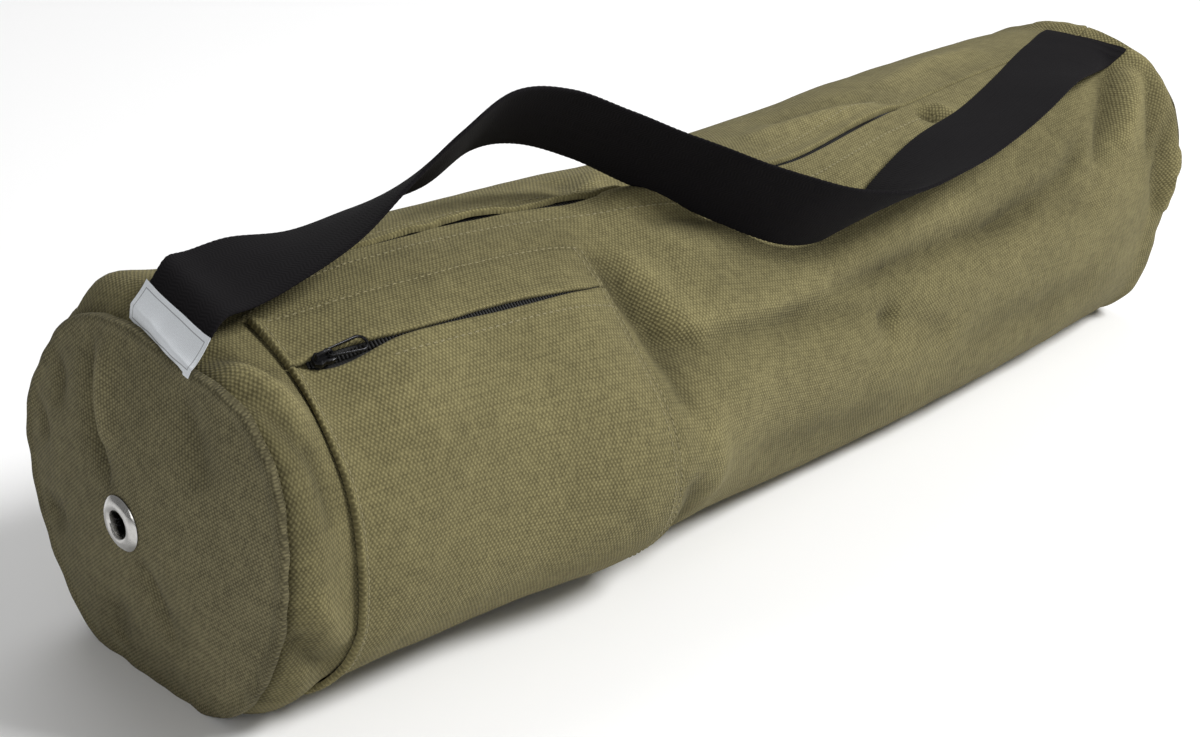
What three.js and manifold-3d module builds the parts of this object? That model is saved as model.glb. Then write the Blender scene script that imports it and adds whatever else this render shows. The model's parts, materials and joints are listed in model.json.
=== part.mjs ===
// Yoga mat bag: a soft canvas tube with two round end panels, a zip along the top, a zipped
// patch pocket on the front, a webbing strap and an eyelet in the near end panel.
// Millimetres. X runs along the bag from the eyelet end (-X) to the far end (+X),
// -Y is the pocket side and Z is up, with the floor at Z = 0.
import * as THREE from 'three';
import { mergeVertices } from 'three/addons/utils/BufferGeometryUtils.js';
import Module from 'manifold-3d';

// Driving sizes
const BAG = {
  length: 685,          // seam to seam
  half_width: 97,       // at the near end, the widest section
  height: 174,          // as it lies
  squareness: 2.3,      // exponent of the section's upper half, 2 is an ellipse
  sag: 1.03,            // how far the unloaded underside would hang below the floor, as a factor
  canvas: 1.6,          // cloth thickness
  near_dome: 14,        // how far the near end panel swells out
  far_dome: 10,
};
const SEAM = {
  gap: 0.3,             // between two pieces that touch
  lay: 0.7,             // between curved cloth and what lies on it
  ridge: 3,             // height of the roll of cloth beside each end seam
  ridge_reach: 9,
  ridge_width: 5.4,
};
// Both zips and the pocket are placed by their distance from the near seam.
const MAIN_ZIP = {
  from_seam: 36,
  length: 444,
  slit: 6,              // width of the slot between the cloth lips
  tape_width: 26,
  tape: 0.8,
  coil_width: 4.4,
  coil: 1.3,
  coil_end: 2,          // how far the coil stops short of the slot's ends
};
// The three angles are places around the section, in degrees down from the main zip.
const POCKET = {
  from_seam: 41,
  length: 171,
  top_angle: 21,
  zip_angle: 37.5,
  bottom_angle: 145,
  canvas: 1.4,
};
const POCKET_ZIP = {
  slit: 5,
  tape_width: 19,
  tape: 0.7,
  coil_width: 3.6,
  coil: 1.1,
  coil_end: 6,
};
// Both zips have the same slider: a block with a wire bridge along the zip.
const SLIDER = {
  length: 10,
  width: 7,
  height: 3,
  leg_sunk: 0.5,        // how deep the bridge's legs go into the block
  bridge_wire: 1.4,
  bridge_room: 2.6,     // clear height under the bridge
  bridge_length: 6,     // clear length under the bridge
};
// Each pull is a wire loop round the forward leg of its slider's bridge. turn is its direction
// from the zip's run and droop how far it lies down towards the cloth, both in degrees.
const POCKET_PULL = {
  slider_from_start: 15,
  length: 20,
  width: 8.4,           // outside width of its round end
  wire: 1.4,
  turn: 0,
  droop: 6,
};
const MAIN_PULL = {
  slider_from_start: 9,
  length: 21,
  width: 7,
  wire: 1.4,
  turn: -90,
  droop: 4,
};
const HOOK_GAP = 0.5;   // between a pull's eye and the bridge leg inside it
const STRAP = {
  width: 50,
  thickness: 2,
  arch: 55,             // height of the free arch over the cloth
};
const LABEL = {
  width: 52,
  height: 18,
  thickness: 0.6,
};
const EYELET = {
  hole: 12.4,
  barrel_wall: 0.8,
  flange: 25.4,
  flange_height: 2.2,
  washer: 22,
  washer_thickness: 0.8,
};

// Cross-sections along the bag. along is a share of the length from the middle, width a share of
// the half width, height a share of the height, and belly the exponent of the lower half, which
// is squarer where the cloth sags onto the floor.
const SECTIONS = [
  { along: -0.50, width: 0.99, height: 1.000, belly: 2.3 },
  { along: -0.44, width: 1.00, height: 1.020, belly: 2.6 },
  { along: -0.29, width: 0.98, height: 1.015, belly: 2.3 },
  { along: -0.15, width: 0.95, height: 1.000, belly: 2.45 },
  { along: 0.00, width: 0.95, height: 0.985, belly: 3.1 },
  { along: 0.15, width: 0.94, height: 0.990, belly: 3.2 },
  { along: 0.30, width: 0.92, height: 1.015, belly: 3.0 },
  { along: 0.44, width: 0.88, height: 1.020, belly: 2.7 },
  { along: 0.50, width: 0.87, height: 1.000, belly: 2.4 },
];

// Swells (+) and dents (-) of the cloth, each a smooth bump. along and long are shares of the
// length, around is in degrees from the front (0) over the top (90) to the back (180), wide is in
// degrees, turn slants a long fold by degrees around per share of length, drift slants an upright
// one by shares of length per degree around, and lift is a share of the bag's height.
const FOLDS = [
  { name: 'near shoulder', along: -0.50, around: 36, long: 0.07, wide: 15, lift: 0.060 },
  { name: 'near top flat', along: -0.50, around: 68, long: 0.06, wide: 12, lift: -0.035 },
  { name: 'near top back', along: -0.49, around: 112, long: 0.05, wide: 13, lift: 0.030 },
  { name: 'near back flat', along: -0.50, around: 148, long: 0.06, wide: 13, lift: -0.030 },
  { name: 'near lower front', along: -0.50, around: -40, long: 0.035, wide: 24, lift: -0.040 },
  { name: 'near lower back', along: -0.50, around: 225, long: 0.08, wide: 16, lift: 0.055 },
  { name: 'strip hollow', along: -0.455, around: 15, long: 0.018, wide: 40, lift: -0.020 },
  { name: 'pocket corner', along: -0.445, around: 44, long: 0.028, wide: 17, lift: -0.100 },
  { name: 'pocket underside', along: -0.33, around: -56, long: 0.05, wide: 16, lift: -0.035 },
  { name: 'pocket swell', along: -0.205, around: -8, long: 0.07, wide: 25, lift: 0.125 },
  { name: 'pocket lower', along: -0.43, around: -48, long: 0.045, wide: 22, lift: 0.030 },
  { name: 'pocket valley', along: -0.165, around: 34, long: 0.030, wide: 17, lift: -0.085 },
  { name: 'side crease', along: -0.05, around: 14, long: 0.085, wide: 6, turn: -54, lift: -0.022 },
  { name: 'side swell', along: -0.03, around: -6, long: 0.09, wide: 12, turn: -20, lift: 0.020 },
  { name: 'side dimple', along: 0.076, around: 1, long: 0.022, wide: 8, lift: -0.022 },
  { name: 'long valley', along: 0.17, around: 20, long: 0.11, wide: 7, lift: -0.024 },
  { name: 'strap dent', along: -0.015, around: 39, long: 0.055, wide: 12, turn: -20, lift: -0.028 },
  { name: 'back ridge', along: 0.17, around: 100, long: 0.03, wide: 16, drift: 0.002, lift: 0.014 },
  { name: 'back dent', along: -0.02, around: 112, long: 0.06, wide: 14, lift: -0.018 },
  { name: 'far pleat', along: 0.425, around: 46, long: 0.022, wide: 16, drift: 0.0018, lift: -0.022 },
  { name: 'far shoulder', along: 0.50, around: 42, long: 0.035, wide: 18, lift: 0.035 },
  { name: 'far side dent', along: 0.50, around: -18, long: 0.05, wide: 16, lift: -0.045 },
];

// The eyelet's rounded face. across runs from the bore to the rim and out is a share of its height.
const FLANGE_FACE = [
  { across: 0.00, out: 0.75 },
  { across: 0.25, out: 1.00 },
  { across: 0.50, out: 0.90 },
  { across: 0.90, out: 0.45 },
  { across: 1.00, out: 0.00 },
];

// The main zip's place around the section, in degrees, along the bag.
const ZIP_LINE = [
  { along: -0.50, around: 90 },
  { along: -0.35, around: 89 },
  { along: -0.24, around: 86 },
  { along: -0.16, around: 80 },
  { along: 0.03, around: 67 },
  { along: 0.16, around: 73 },
  { along: 0.50, around: 80 },
];

// The strap's course. along is a share of the length, around is the place on the section, lift is
// a share of the arch, tilt is the slope of the width upwards to the front, skew turns the front
// edge ahead, and flat tells how far the width follows the cloth below.
const STRAP_LINE = [
  { along: -0.497, around: 77, lift: 0.04, tilt: -19, skew: -4, flat: 0.7 },
  { along: -0.484, around: 77, lift: 0.16, tilt: -17, skew: -6, flat: 0.1 },
  { along: -0.466, around: 78, lift: 0.26, tilt: -14, skew: -7, flat: 0.0 },
  { along: -0.425, around: 79, lift: 0.33, tilt: -5, skew: -5, flat: 0.0 },
  { along: -0.376, around: 79, lift: 0.36, tilt: 10, skew: -4, flat: 0.0 },
  { along: -0.328, around: 79, lift: 0.49, tilt: 21, skew: -5, flat: 0.0 },
  { along: -0.283, around: 80, lift: 0.73, tilt: 33, skew: -6, flat: 0.0 },
  { along: -0.237, around: 81, lift: 0.92, tilt: 44, skew: -4, flat: 0.0 },
  { along: -0.191, around: 79, lift: 0.85, tilt: 42, skew: 0, flat: 0.0 },
  { along: -0.148, around: 75, lift: 0.62, tilt: 41, skew: 2, flat: 0.0 },
  { along: -0.107, around: 68, lift: 0.44, tilt: 42, skew: 3, flat: 0.0 },
  { along: -0.070, around: 56, lift: 0.43, tilt: 44, skew: 5, flat: 0.0 },
  { along: -0.030, around: 44, lift: 0.48, tilt: 48, skew: 10, flat: 0.0 },
  { along: 0.010, around: 40, lift: 0.48, tilt: 43, skew: 12, flat: 0.0 },
  { along: 0.047, around: 41, lift: 0.45, tilt: 25, skew: 11, flat: 0.0 },
  { along: 0.090, around: 45, lift: 0.43, tilt: 9, skew: 9, flat: 0.0 },
  { along: 0.161, around: 48, lift: 0.38, tilt: 3, skew: 9, flat: 0.0 },
  { along: 0.248, around: 51, lift: 0.31, tilt: 4, skew: 12, flat: 0.0 },
  { along: 0.332, around: 60, lift: 0.24, tilt: 6, skew: 16, flat: 0.0 },
  { along: 0.414, around: 70, lift: 0.12, tilt: 3, skew: 17, flat: 0.1 },
  { along: 0.460, around: 77, lift: 0.03, tilt: -4, skew: 12, flat: 0.6 },
  { along: 0.491, around: 82, lift: 0.00, tilt: -8, skew: 4, flat: 1.0 },
];

const MERGE_WITHIN = 1e-3;
const AROUND_STEP = 9;
const ALONG_STEP = 22;
const STRAP_STEPS = 60;
const ACROSS_STOPS = [-1, -0.5, 0, 0.5, 1];
const PANEL_SHARES = [0, 0.15, 0.35, 0.6, 0.82, 1];
const LOOP_STEPS = 7;
const EYELET_SIDES = 20;
const WIRE_SIDES = 6;
const SEAT_REACH = 4;

const wasm = await Module();
wasm.setup();

// Reads one column of a table at a place along the bag, smoothly.
function column(table, name, along) {
  const last = table.length - 1;
  if (along <= table[0].along) return table[0][name];
  if (along >= table[last].along) return table[last][name];
  const i = table.findIndex((row, k) => k < last && along <= table[k + 1].along);
  const at = (k) => table[Math.min(Math.max(k, 0), last)];
  const [a, b, c, d] = [at(i - 1), at(i), at(i + 1), at(i + 2)];
  const span = c.along - b.along;
  const t = (along - b.along) / span;
  const slopeIn = ((c[name] - a[name]) / (c.along - a.along)) * span;
  const slopeOut = ((d[name] - b[name]) / (d.along - b.along)) * span;
  const t2 = t * t;
  const t3 = t2 * t;
  return (2 * t3 - 3 * t2 + 1) * b[name] + (t3 - 2 * t2 + t) * slopeIn
    + (3 * t2 - 2 * t3) * c[name] + (t3 - t2) * slopeOut;
}

// Smallest turn between two directions, in degrees.
function turnBetween(a, b) {
  return ((((a - b) % 360) + 540) % 360) - 180;
}

function foldLift(along, around) {
  return FOLDS.reduce((sum, { turn = 0, drift = 0, ...fold }) => {
    const s = (along - fold.along - drift * turnBetween(around, fold.around)) / fold.long;
    const middle = fold.around + turn * (along - fold.along);
    const w = turnBetween(around, middle) / fold.wide;
    return sum + fold.lift * BAG.height * Math.exp(-0.5 * (s * s + w * w));
  }, 0);
}

// The roll of cloth beside each end seam.
function seamRidge(x) {
  const fromSeam = BAG.length / 2 - Math.abs(x);
  const s = (fromSeam - SEAM.ridge_reach) / SEAM.ridge_width;
  return SEAM.ridge * Math.exp(-0.5 * s * s);
}

function sectionCentre(along) {
  return new THREE.Vector3(along * BAG.length, 0, (column(SECTIONS, 'height', along) * BAG.height) / 2);
}

// Distance of the cloth's outer face from the section's centre.
function sectionRadius(along, around) {
  const a = column(SECTIONS, 'width', along) * BAG.half_width;
  const half = (column(SECTIONS, 'height', along) * BAG.height) / 2;
  const angle = THREE.MathUtils.degToRad(around);
  const lower = Math.sin(angle) < 0;
  const b = lower ? half * BAG.sag : half;
  const n = lower ? column(SECTIONS, 'belly', along) : BAG.squareness;
  const base = (Math.abs(Math.cos(angle) / a) ** n + Math.abs(Math.sin(angle) / b) ** n) ** (-1 / n);
  return base + foldLift(along, around) + seamRidge(along * BAG.length);
}

function outward(around) {
  const angle = THREE.MathUtils.degToRad(around);
  return new THREE.Vector3(0, -Math.cos(angle), Math.sin(angle));
}

// Point at a height over the cloth's outer face, or inside it where height is negative.
// The underside lies flat on the floor, so inner faces lie flat above it.
function onBag(x, around, height = 0) {
  const along = x / BAG.length;
  const radius = sectionRadius(along, around) + height;
  const point = sectionCentre(along).addScaledVector(outward(around), radius);
  point.z = Math.max(point.z, Math.max(-height, 0));
  return point;
}

function zipAround(x) {
  return column(ZIP_LINE, 'around', x / BAG.length);
}

// A length measured around the section, in degrees.
function degreesOf(length, x, around) {
  return THREE.MathUtils.radToDeg(length / sectionRadius(x / BAG.length, around));
}

// Fills the stretches between chosen stops with even steps.
function fillStops(stops, step) {
  const filled = [stops[0]];
  for (let i = 1; i < stops.length; i += 1) {
    const count = Math.max(1, Math.ceil(Math.abs(stops[i] - stops[i - 1]) / step - 1e-6));
    for (let k = 1; k <= count; k += 1) {
      filled.push(stops[i - 1] + ((stops[i] - stops[i - 1]) * k) / count);
    }
  }
  return filled;
}

// Closed solid between two faces of the same grid. With wrap the last column meets the first,
// and hole(i, j) leaves cells out.
function gridSolid({ rows, columns, outer, inner, wrap = false, hole = () => false }) {
  const positions = [];
  const index = [];
  const id = (i, j, side) => (side * rows + i) * columns + (j % columns);
  for (const face of [outer, inner]) {
    for (let i = 0; i < rows; i += 1) {
      for (let j = 0; j < columns; j += 1) positions.push(...face(i, j).toArray());
    }
  }
  const quad = (a, b, c, d) => index.push(a, b, c, a, c, d);
  const cellRows = rows - 1;
  const cellColumns = wrap ? columns : columns - 1;
  const filled = (i, j) => {
    if (i < 0 || i >= cellRows) return false;
    if (!wrap && (j < 0 || j >= cellColumns)) return false;
    return !hole(i, (j + columns) % columns);
  };
  for (let i = 0; i < cellRows; i += 1) {
    for (let j = 0; j < cellColumns; j += 1) {
      if (!filled(i, j)) continue;
      quad(id(i, j, 0), id(i, j + 1, 0), id(i + 1, j + 1, 0), id(i + 1, j, 0));
      quad(id(i, j, 1), id(i + 1, j, 1), id(i + 1, j + 1, 1), id(i, j + 1, 1));
      if (!filled(i - 1, j)) quad(id(i, j, 0), id(i, j, 1), id(i, j + 1, 1), id(i, j + 1, 0));
      if (!filled(i + 1, j)) quad(id(i + 1, j, 0), id(i + 1, j + 1, 0), id(i + 1, j + 1, 1), id(i + 1, j, 1));
      if (!filled(i, j - 1)) quad(id(i, j, 0), id(i + 1, j, 0), id(i + 1, j, 1), id(i, j, 1));
      if (!filled(i, j + 1)) quad(id(i, j + 1, 0), id(i, j + 1, 1), id(i + 1, j + 1, 1), id(i + 1, j + 1, 0));
    }
  }
  const geometry = new THREE.BufferGeometry();
  geometry.setAttribute('position', new THREE.Float32BufferAttribute(positions, 3));
  geometry.setIndex(index);
  return facingOut(geometry);
}

// Merges a closed solid's vertices, drops the faces that this closes up, and turns the rest round
// where they point inwards.
function facingOut(geometry) {
  geometry.deleteAttribute('normal');
  geometry.deleteAttribute('uv');
  const solid = mergeVertices(geometry, MERGE_WITHIN);
  const p = solid.getAttribute('position');
  const order = [];
  const merged = solid.getIndex().array;
  for (let k = 0; k < merged.length; k += 3) {
    const face = merged.slice(k, k + 3);
    if (new Set(face).size === 3) order.push(...face);
  }
  const [a, b, c] = [new THREE.Vector3(), new THREE.Vector3(), new THREE.Vector3()];
  let volume = 0;
  for (let k = 0; k < order.length; k += 3) {
    a.fromBufferAttribute(p, order[k]);
    b.fromBufferAttribute(p, order[k + 1]);
    c.fromBufferAttribute(p, order[k + 2]);
    volume += a.dot(b.cross(c)) / 6;
  }
  if (volume < 0) {
    for (let k = 0; k < order.length; k += 3) [order[k], order[k + 1]] = [order[k + 1], order[k]];
  }
  solid.setIndex(order);
  solid.computeVertexNormals();
  return solid;
}

function joined(geometries) {
  const solids = geometries.map((geometry) => {
    const closed = facingOut(geometry);
    return new wasm.Manifold(new wasm.Mesh({
      numProp: 3,
      vertProperties: closed.getAttribute('position').array,
      triVerts: new Uint32Array(closed.getIndex().array),
    }));
  });
  const mesh = solids.reduce((sum, solid) => sum.add(solid)).getMesh();
  const geometry = new THREE.BufferGeometry();
  geometry.setAttribute('position', new THREE.Float32BufferAttribute(mesh.vertProperties, 3));
  geometry.setIndex([...mesh.triVerts]);
  return facingOut(geometry);
}

function namedMesh(name, geometry, material) {
  const mesh = new THREE.Mesh(geometry, material);
  mesh.name = name;
  return mesh;
}

// One grid for the body and all that lies on it, so that their facets run parallel. Stops along
// the bag are in millimetres. Stops around are in degrees from the main zip's front lip, down
// the front, under the bag and up the back to its rear lip.
const bodyEnd = BAG.length / 2 - BAG.canvas - SEAM.gap;
const nearSeam = -BAG.length / 2;
const zipStart = nearSeam + MAIN_ZIP.from_seam;
const zipEnd = zipStart + MAIN_ZIP.length;
const pocketLeft = nearSeam + POCKET.from_seam;
const pocketRight = pocketLeft + POCKET.length;
const eyeletHole = EYELET.hole / 2 + EYELET.barrel_wall + SEAM.gap;
const halfAngle = (width) => THREE.MathUtils.radToDeg(width / 2 / BAG.half_width);
const mainTapeStop = halfAngle(MAIN_ZIP.tape_width - MAIN_ZIP.slit);
const zipFrom = POCKET.zip_angle - halfAngle(POCKET_ZIP.slit);
const zipTo = POCKET.zip_angle + halfAngle(POCKET_ZIP.slit);
const tapeFrom = POCKET.zip_angle - halfAngle(POCKET_ZIP.tape_width);
const tapeTo = POCKET.zip_angle + halfAngle(POCKET_ZIP.tape_width);
const alongStops = fillStops(
  [-bodyEnd, zipStart, pocketLeft, pocketRight, zipEnd, bodyEnd].sort((a, b) => a - b),
  ALONG_STEP,
);
const pocketStops = [POCKET.top_angle, tapeFrom, zipFrom, zipTo, tapeTo, POCKET.bottom_angle];
const aroundStops = fillStops([0, mainTapeStop, ...pocketStops, 360 - mainTapeStop, 360], AROUND_STEP);
const stopIndex = (stops, value) => stops.findIndex((stop) => Math.abs(stop - value) < 1e-6);

function gridAround(x, stop) {
  const half = degreesOf(MAIN_ZIP.slit / 2, x, zipAround(x));
  return zipAround(x) - half - (stop / 360) * (360 - 2 * half);
}

function gridPoint(i, j, height) {
  const x = alongStops[i];
  return onBag(x, gridAround(x, aroundStops[j]), height);
}

function bodyShell(material) {
  const columns = aroundStops.length;
  const first = stopIndex(alongStops, zipStart);
  const last = stopIndex(alongStops, zipEnd);
  return namedMesh('body_shell', gridSolid({
    rows: alongStops.length,
    columns,
    wrap: true,
    outer: (i, j) => gridPoint(i, j, 0),
    inner: (i, j) => gridPoint(i, j, -BAG.canvas),
    hole: (i, j) => j === columns - 1 && i >= first && i < last,
  }), material);
}

// Domed round panel. side is -1 at the near end and +1 at the far end.
function endPanel(name, side, dome, holeRadius, material) {
  const seamX = (side * BAG.length) / 2;
  const around = fillStops([0, 360], AROUND_STEP).slice(0, -1);
  const middle = sectionCentre(side / 2);
  const face = (inset) => (i, j) => {
    const rim = onBag(seamX, around[j], -inset);
    const point = middle.clone().addScaledVector(outward(around[j]), holeRadius).lerp(rim, PANEL_SHARES[i]);
    const out = point.distanceTo(middle) / rim.distanceTo(middle);
    point.x = seamX + side * (dome * (1 - out * out) - inset);
    return point;
  };
  return namedMesh(name, gridSolid({
    rows: PANEL_SHARES.length,
    columns: around.length,
    wrap: true,
    outer: face(0),
    inner: face(BAG.canvas),
  }), material);
}

// Cloth laid over the body on the shared grid, between two stops around. Its sewn rim lies on
// the body, and the rest lies on the zip tape below it.
function pocketPanel(name, fromStop, toStop, sewnStop, material) {
  const firstRow = stopIndex(alongStops, pocketLeft);
  const lastRow = stopIndex(alongStops, pocketRight);
  const firstColumn = stopIndex(aroundStops, fromStop);
  const lastColumn = stopIndex(aroundStops, toStop);
  const sewnColumn = stopIndex(aroundStops, sewnStop);
  const height = (i, j) => {
    const sewn = i === firstRow || i === lastRow || j === sewnColumn;
    return sewn ? SEAM.gap : 2 * SEAM.gap + POCKET_ZIP.tape;
  };
  const face = (thickness) => (row, col) => {
    const i = firstRow + row;
    const j = firstColumn + col;
    return gridPoint(i, j, height(i, j) + thickness);
  };
  return namedMesh(name, gridSolid({
    rows: lastRow - firstRow + 1,
    columns: lastColumn - firstColumn + 1,
    outer: face(POCKET.canvas),
    inner: face(0),
  }), material);
}

// Strip between grid rows, at heights over the body's outer face.
function gridStrip(name, rows, columns, bottom, top, material) {
  return namedMesh(name, gridSolid({
    rows: rows.length,
    columns: columns.length,
    outer: (i, j) => gridPoint(rows[i], columns[j], top),
    inner: (i, j) => gridPoint(rows[i], columns[j], bottom),
  }), material);
}

function range(from, to) {
  return Array.from({ length: to - from + 1 }, (_, k) => from + k);
}

function mainZipTape(material) {
  const first = stopIndex(alongStops, zipStart) - 1;
  const last = stopIndex(alongStops, zipEnd) + 1;
  const end = aroundStops.length - 1;
  const columns = [stopIndex(aroundStops, 360 - mainTapeStop), end, 0, stopIndex(aroundStops, mainTapeStop)];
  const top = -BAG.canvas - SEAM.gap;
  return gridStrip('main_zip_tape', range(first, last), columns, top - MAIN_ZIP.tape, top, material);
}

// Bar of zip coil along the middle of a slot, from one place along the bag to another.
function coilBar(name, from, to, around, width, bottom, top, material) {
  const places = [from, ...alongStops.filter((x) => x > from + 1 && x < to - 1), to];
  const face = (height) => (i, j) => {
    const x = places[i];
    const half = degreesOf(width / 2, x, around(x));
    return onBag(x, around(x) + (j === 0 ? half : -half), height);
  };
  const solid = gridSolid({ rows: places.length, columns: 2, outer: face(top), inner: face(bottom) });
  return namedMesh(name, solid, material);
}

function pocketZipTape(material) {
  const first = stopIndex(alongStops, pocketLeft) + 1;
  const last = stopIndex(alongStops, pocketRight) - 1;
  const columns = range(stopIndex(aroundStops, tapeFrom), stopIndex(aroundStops, tapeTo));
  const top = SEAM.gap + POCKET_ZIP.tape;
  return gridStrip('pocket_zip_tape', range(first, last), columns, SEAM.gap, top, material);
}

// Group whose X runs along the zip, Y up around the bag and Z out of the cloth.
function seatedGroup(x, around, height) {
  const ahead = onBag(x + SEAT_REACH, around(x + SEAT_REACH), height);
  const behind = onBag(x - SEAT_REACH, around(x - SEAT_REACH), height);
  const xAxis = ahead.clone().sub(behind).normalize();
  const upper = onBag(x, around(x) + SEAT_REACH, height);
  const lower = onBag(x, around(x) - SEAT_REACH, height);
  const zAxis = xAxis.clone().cross(upper.sub(lower)).normalize();
  const yAxis = zAxis.clone().cross(xAxis);
  const group = new THREE.Group();
  group.matrix.makeBasis(xAxis, yAxis, zAxis).setPosition(onBag(x, around(x), height));
  group.matrix.decompose(group.position, group.quaternion, group.scale);
  return group;
}

// Block with a wire bridge over it, made as one solid.
function sliderGeometry() {
  const block = new THREE.BoxGeometry(SLIDER.length, SLIDER.width, SLIDER.height);
  block.translate(0, 0, SLIDER.height / 2);
  const wire = SLIDER.bridge_wire;
  const span = SLIDER.bridge_length + 2 * wire;
  const post = SLIDER.bridge_room + SLIDER.leg_sunk;
  const leg = (side) => new THREE.BoxGeometry(wire, wire, post)
    .translate((side * (span - wire)) / 2, 0, SLIDER.height - SLIDER.leg_sunk + post / 2);
  const beam = new THREE.BoxGeometry(span, wire, wire);
  beam.translate(0, 0, SLIDER.height + SLIDER.bridge_room + wire / 2);
  return joined([block, leg(-1), leg(1), beam]);
}

// From the middle of a bridge leg to the middle of the wire that goes round it.
function eyeReach(pull) {
  return SLIDER.bridge_wire / 2 + HOOK_GAP + pull.wire / 2;
}

// Closed wire loop with a narrow eye at the origin and a round end at +X, in the XY plane.
function wireLoop(pull) {
  const radius = pull.wire / 2;
  const eye = eyeReach(pull);
  const eyeDepth = 2 * eye;
  const round = pull.width / 2 - radius;
  const far = pull.length - 2 * radius - round;
  const centres = [];
  for (let k = 0; k <= LOOP_STEPS; k += 1) {
    const angle = -Math.PI / 2 + (Math.PI * k) / LOOP_STEPS;
    centres.push(new THREE.Vector2(far + round * Math.cos(angle), round * Math.sin(angle)));
  }
  centres.push(new THREE.Vector2(eyeDepth, eye), new THREE.Vector2(0, eye));
  centres.push(new THREE.Vector2(0, -eye), new THREE.Vector2(eyeDepth, -eye));
  const count = centres.length;
  const side = (k) => {
    const before = centres[(k + count - 1) % count];
    const after = centres[(k + 1) % count];
    const run = after.clone().sub(before).normalize();
    return new THREE.Vector3(run.y, -run.x, 0);
  };
  const point = (k, turn) => new THREE.Vector3(centres[k].x, centres[k].y, 0)
    .addScaledVector(side(k), radius * Math.cos(turn))
    .add(new THREE.Vector3(0, 0, radius * Math.sin(turn)));
  const positions = [];
  const index = [];
  for (let k = 0; k < count; k += 1) {
    for (let s = 0; s < WIRE_SIDES; s += 1) {
      positions.push(...point(k, (2 * Math.PI * s) / WIRE_SIDES).toArray());
      const a = k * WIRE_SIDES + s;
      const b = k * WIRE_SIDES + ((s + 1) % WIRE_SIDES);
      const c = ((k + 1) % count) * WIRE_SIDES + ((s + 1) % WIRE_SIDES);
      const d = ((k + 1) % count) * WIRE_SIDES + s;
      index.push(a, b, c, a, c, d);
    }
  }
  const geometry = new THREE.BufferGeometry();
  geometry.setAttribute('position', new THREE.Float32BufferAttribute(positions, 3));
  geometry.setIndex(index);
  return facingOut(geometry);
}

// Slider seated on a zip, with its pull hooked round the bridge.
function sliderWithPull(prefix, x, around, height, pull, metal) {
  const seat = seatedGroup(x, around, height);
  seat.add(namedMesh(`${prefix}_zip_slider`, sliderGeometry(), metal));
  const turn = THREE.MathUtils.degToRad(pull.turn);
  const leg = (SLIDER.bridge_length + SLIDER.bridge_wire) / 2;
  const hook = new THREE.Group();
  hook.position.set(
    leg - eyeReach(pull) * Math.cos(turn),
    -eyeReach(pull) * Math.sin(turn),
    SLIDER.height + SLIDER.bridge_room / 2,
  );
  hook.rotation.set(0, THREE.MathUtils.degToRad(pull.droop), turn, 'ZYX');
  hook.add(namedMesh(`${prefix}_zip_pull`, wireLoop(pull), metal));
  seat.add(hook);
  return seat;
}

// The strap's middle line and slope at a share of its table, from 0 to 1.
function strapAt(share) {
  const first = STRAP_LINE[0].along;
  const last = STRAP_LINE[STRAP_LINE.length - 1].along;
  const along = first + (last - first) * share;
  const value = (name) => column(STRAP_LINE, name, along);
  return {
    x: along * BAG.length,
    around: value('around'),
    lift: Math.max(value('lift'), 0) * STRAP.arch,
    tilt: THREE.MathUtils.degToRad(value('tilt')),
    skew: THREE.MathUtils.degToRad(value('skew')),
    flat: Math.min(Math.max(value('flat'), 0), 1),
  };
}

// Point of the strap: across runs from -1 at the edge that starts at the back to +1 at the front,
// and height is measured from the strap's underside.
function onStrap(share, across, height, halfWidth = 0) {
  const place = strapAt(share);
  const lay = SEAM.lay + height;
  const straight = onBag(place.x, place.around, SEAM.lay + place.lift);
  const level = Math.cos(place.skew);
  const faceWay = new THREE.Vector3(0, Math.sin(place.tilt), Math.cos(place.tilt));
  const widthWay = new THREE.Vector3(
    Math.sin(place.skew),
    -level * Math.cos(place.tilt),
    level * Math.sin(place.tilt),
  );
  straight.addScaledVector(widthWay, across * halfWidth).addScaledVector(faceWay, height);
  const reach = across * halfWidth;
  const laid = onBag(
    place.x + reach * Math.sin(place.skew),
    place.around - degreesOf(reach * level, place.x, place.around),
    lay,
  );
  return straight.lerp(laid, place.flat);
}

// Solid over the strap's stops from first to last, between two heights.
function strapSolid(name, stops, halfWidth, bottom, top, material) {
  const face = (height) => (i, j) => onStrap(stops[i], ACROSS_STOPS[j], height, halfWidth);
  return namedMesh(name, gridSolid({
    rows: stops.length,
    columns: ACROSS_STOPS.length,
    outer: face(top),
    inner: face(bottom),
  }), material);
}

// Share of the strap at which the label over its sewn end stops.
function labelShare() {
  const step = 1e-3;
  let share = 0;
  let length = 0;
  while (length < LABEL.height) {
    length += onStrap(share + step, 0, 0).distanceTo(onStrap(share, 0, 0));
    share += step;
  }
  return share;
}

// Turned profile about the X axis through the near end panel's middle. Each point is a distance
// outwards from the panel's outer face and a radius.
function eyeletRing(name, profile, material) {
  const centre = sectionCentre(-0.5);
  const points = [...profile, profile[0]].map(([out, radius]) => new THREE.Vector2(radius, out));
  const geometry = facingOut(new THREE.LatheGeometry(points, EYELET_SIDES));
  const mesh = namedMesh(name, geometry, material);
  mesh.rotation.z = Math.PI / 2;
  mesh.position.set(nearSeam - BAG.near_dome, centre.y, centre.z);
  return mesh;
}

function eyeletFlange(material) {
  const bore = EYELET.hole / 2;
  const barrel = bore + EYELET.barrel_wall;
  const rim = EYELET.flange / 2;
  const back = -BAG.canvas - EYELET.washer_thickness - 2 * SEAM.gap;
  const face = FLANGE_FACE.map(({ across, out }) => [
    SEAM.gap + out * EYELET.flange_height,
    bore + across * (rim - bore),
  ]);
  return eyeletRing('eyelet_flange', [[back, bore], ...face, [SEAM.gap, barrel], [back, barrel]], material);
}

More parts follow.
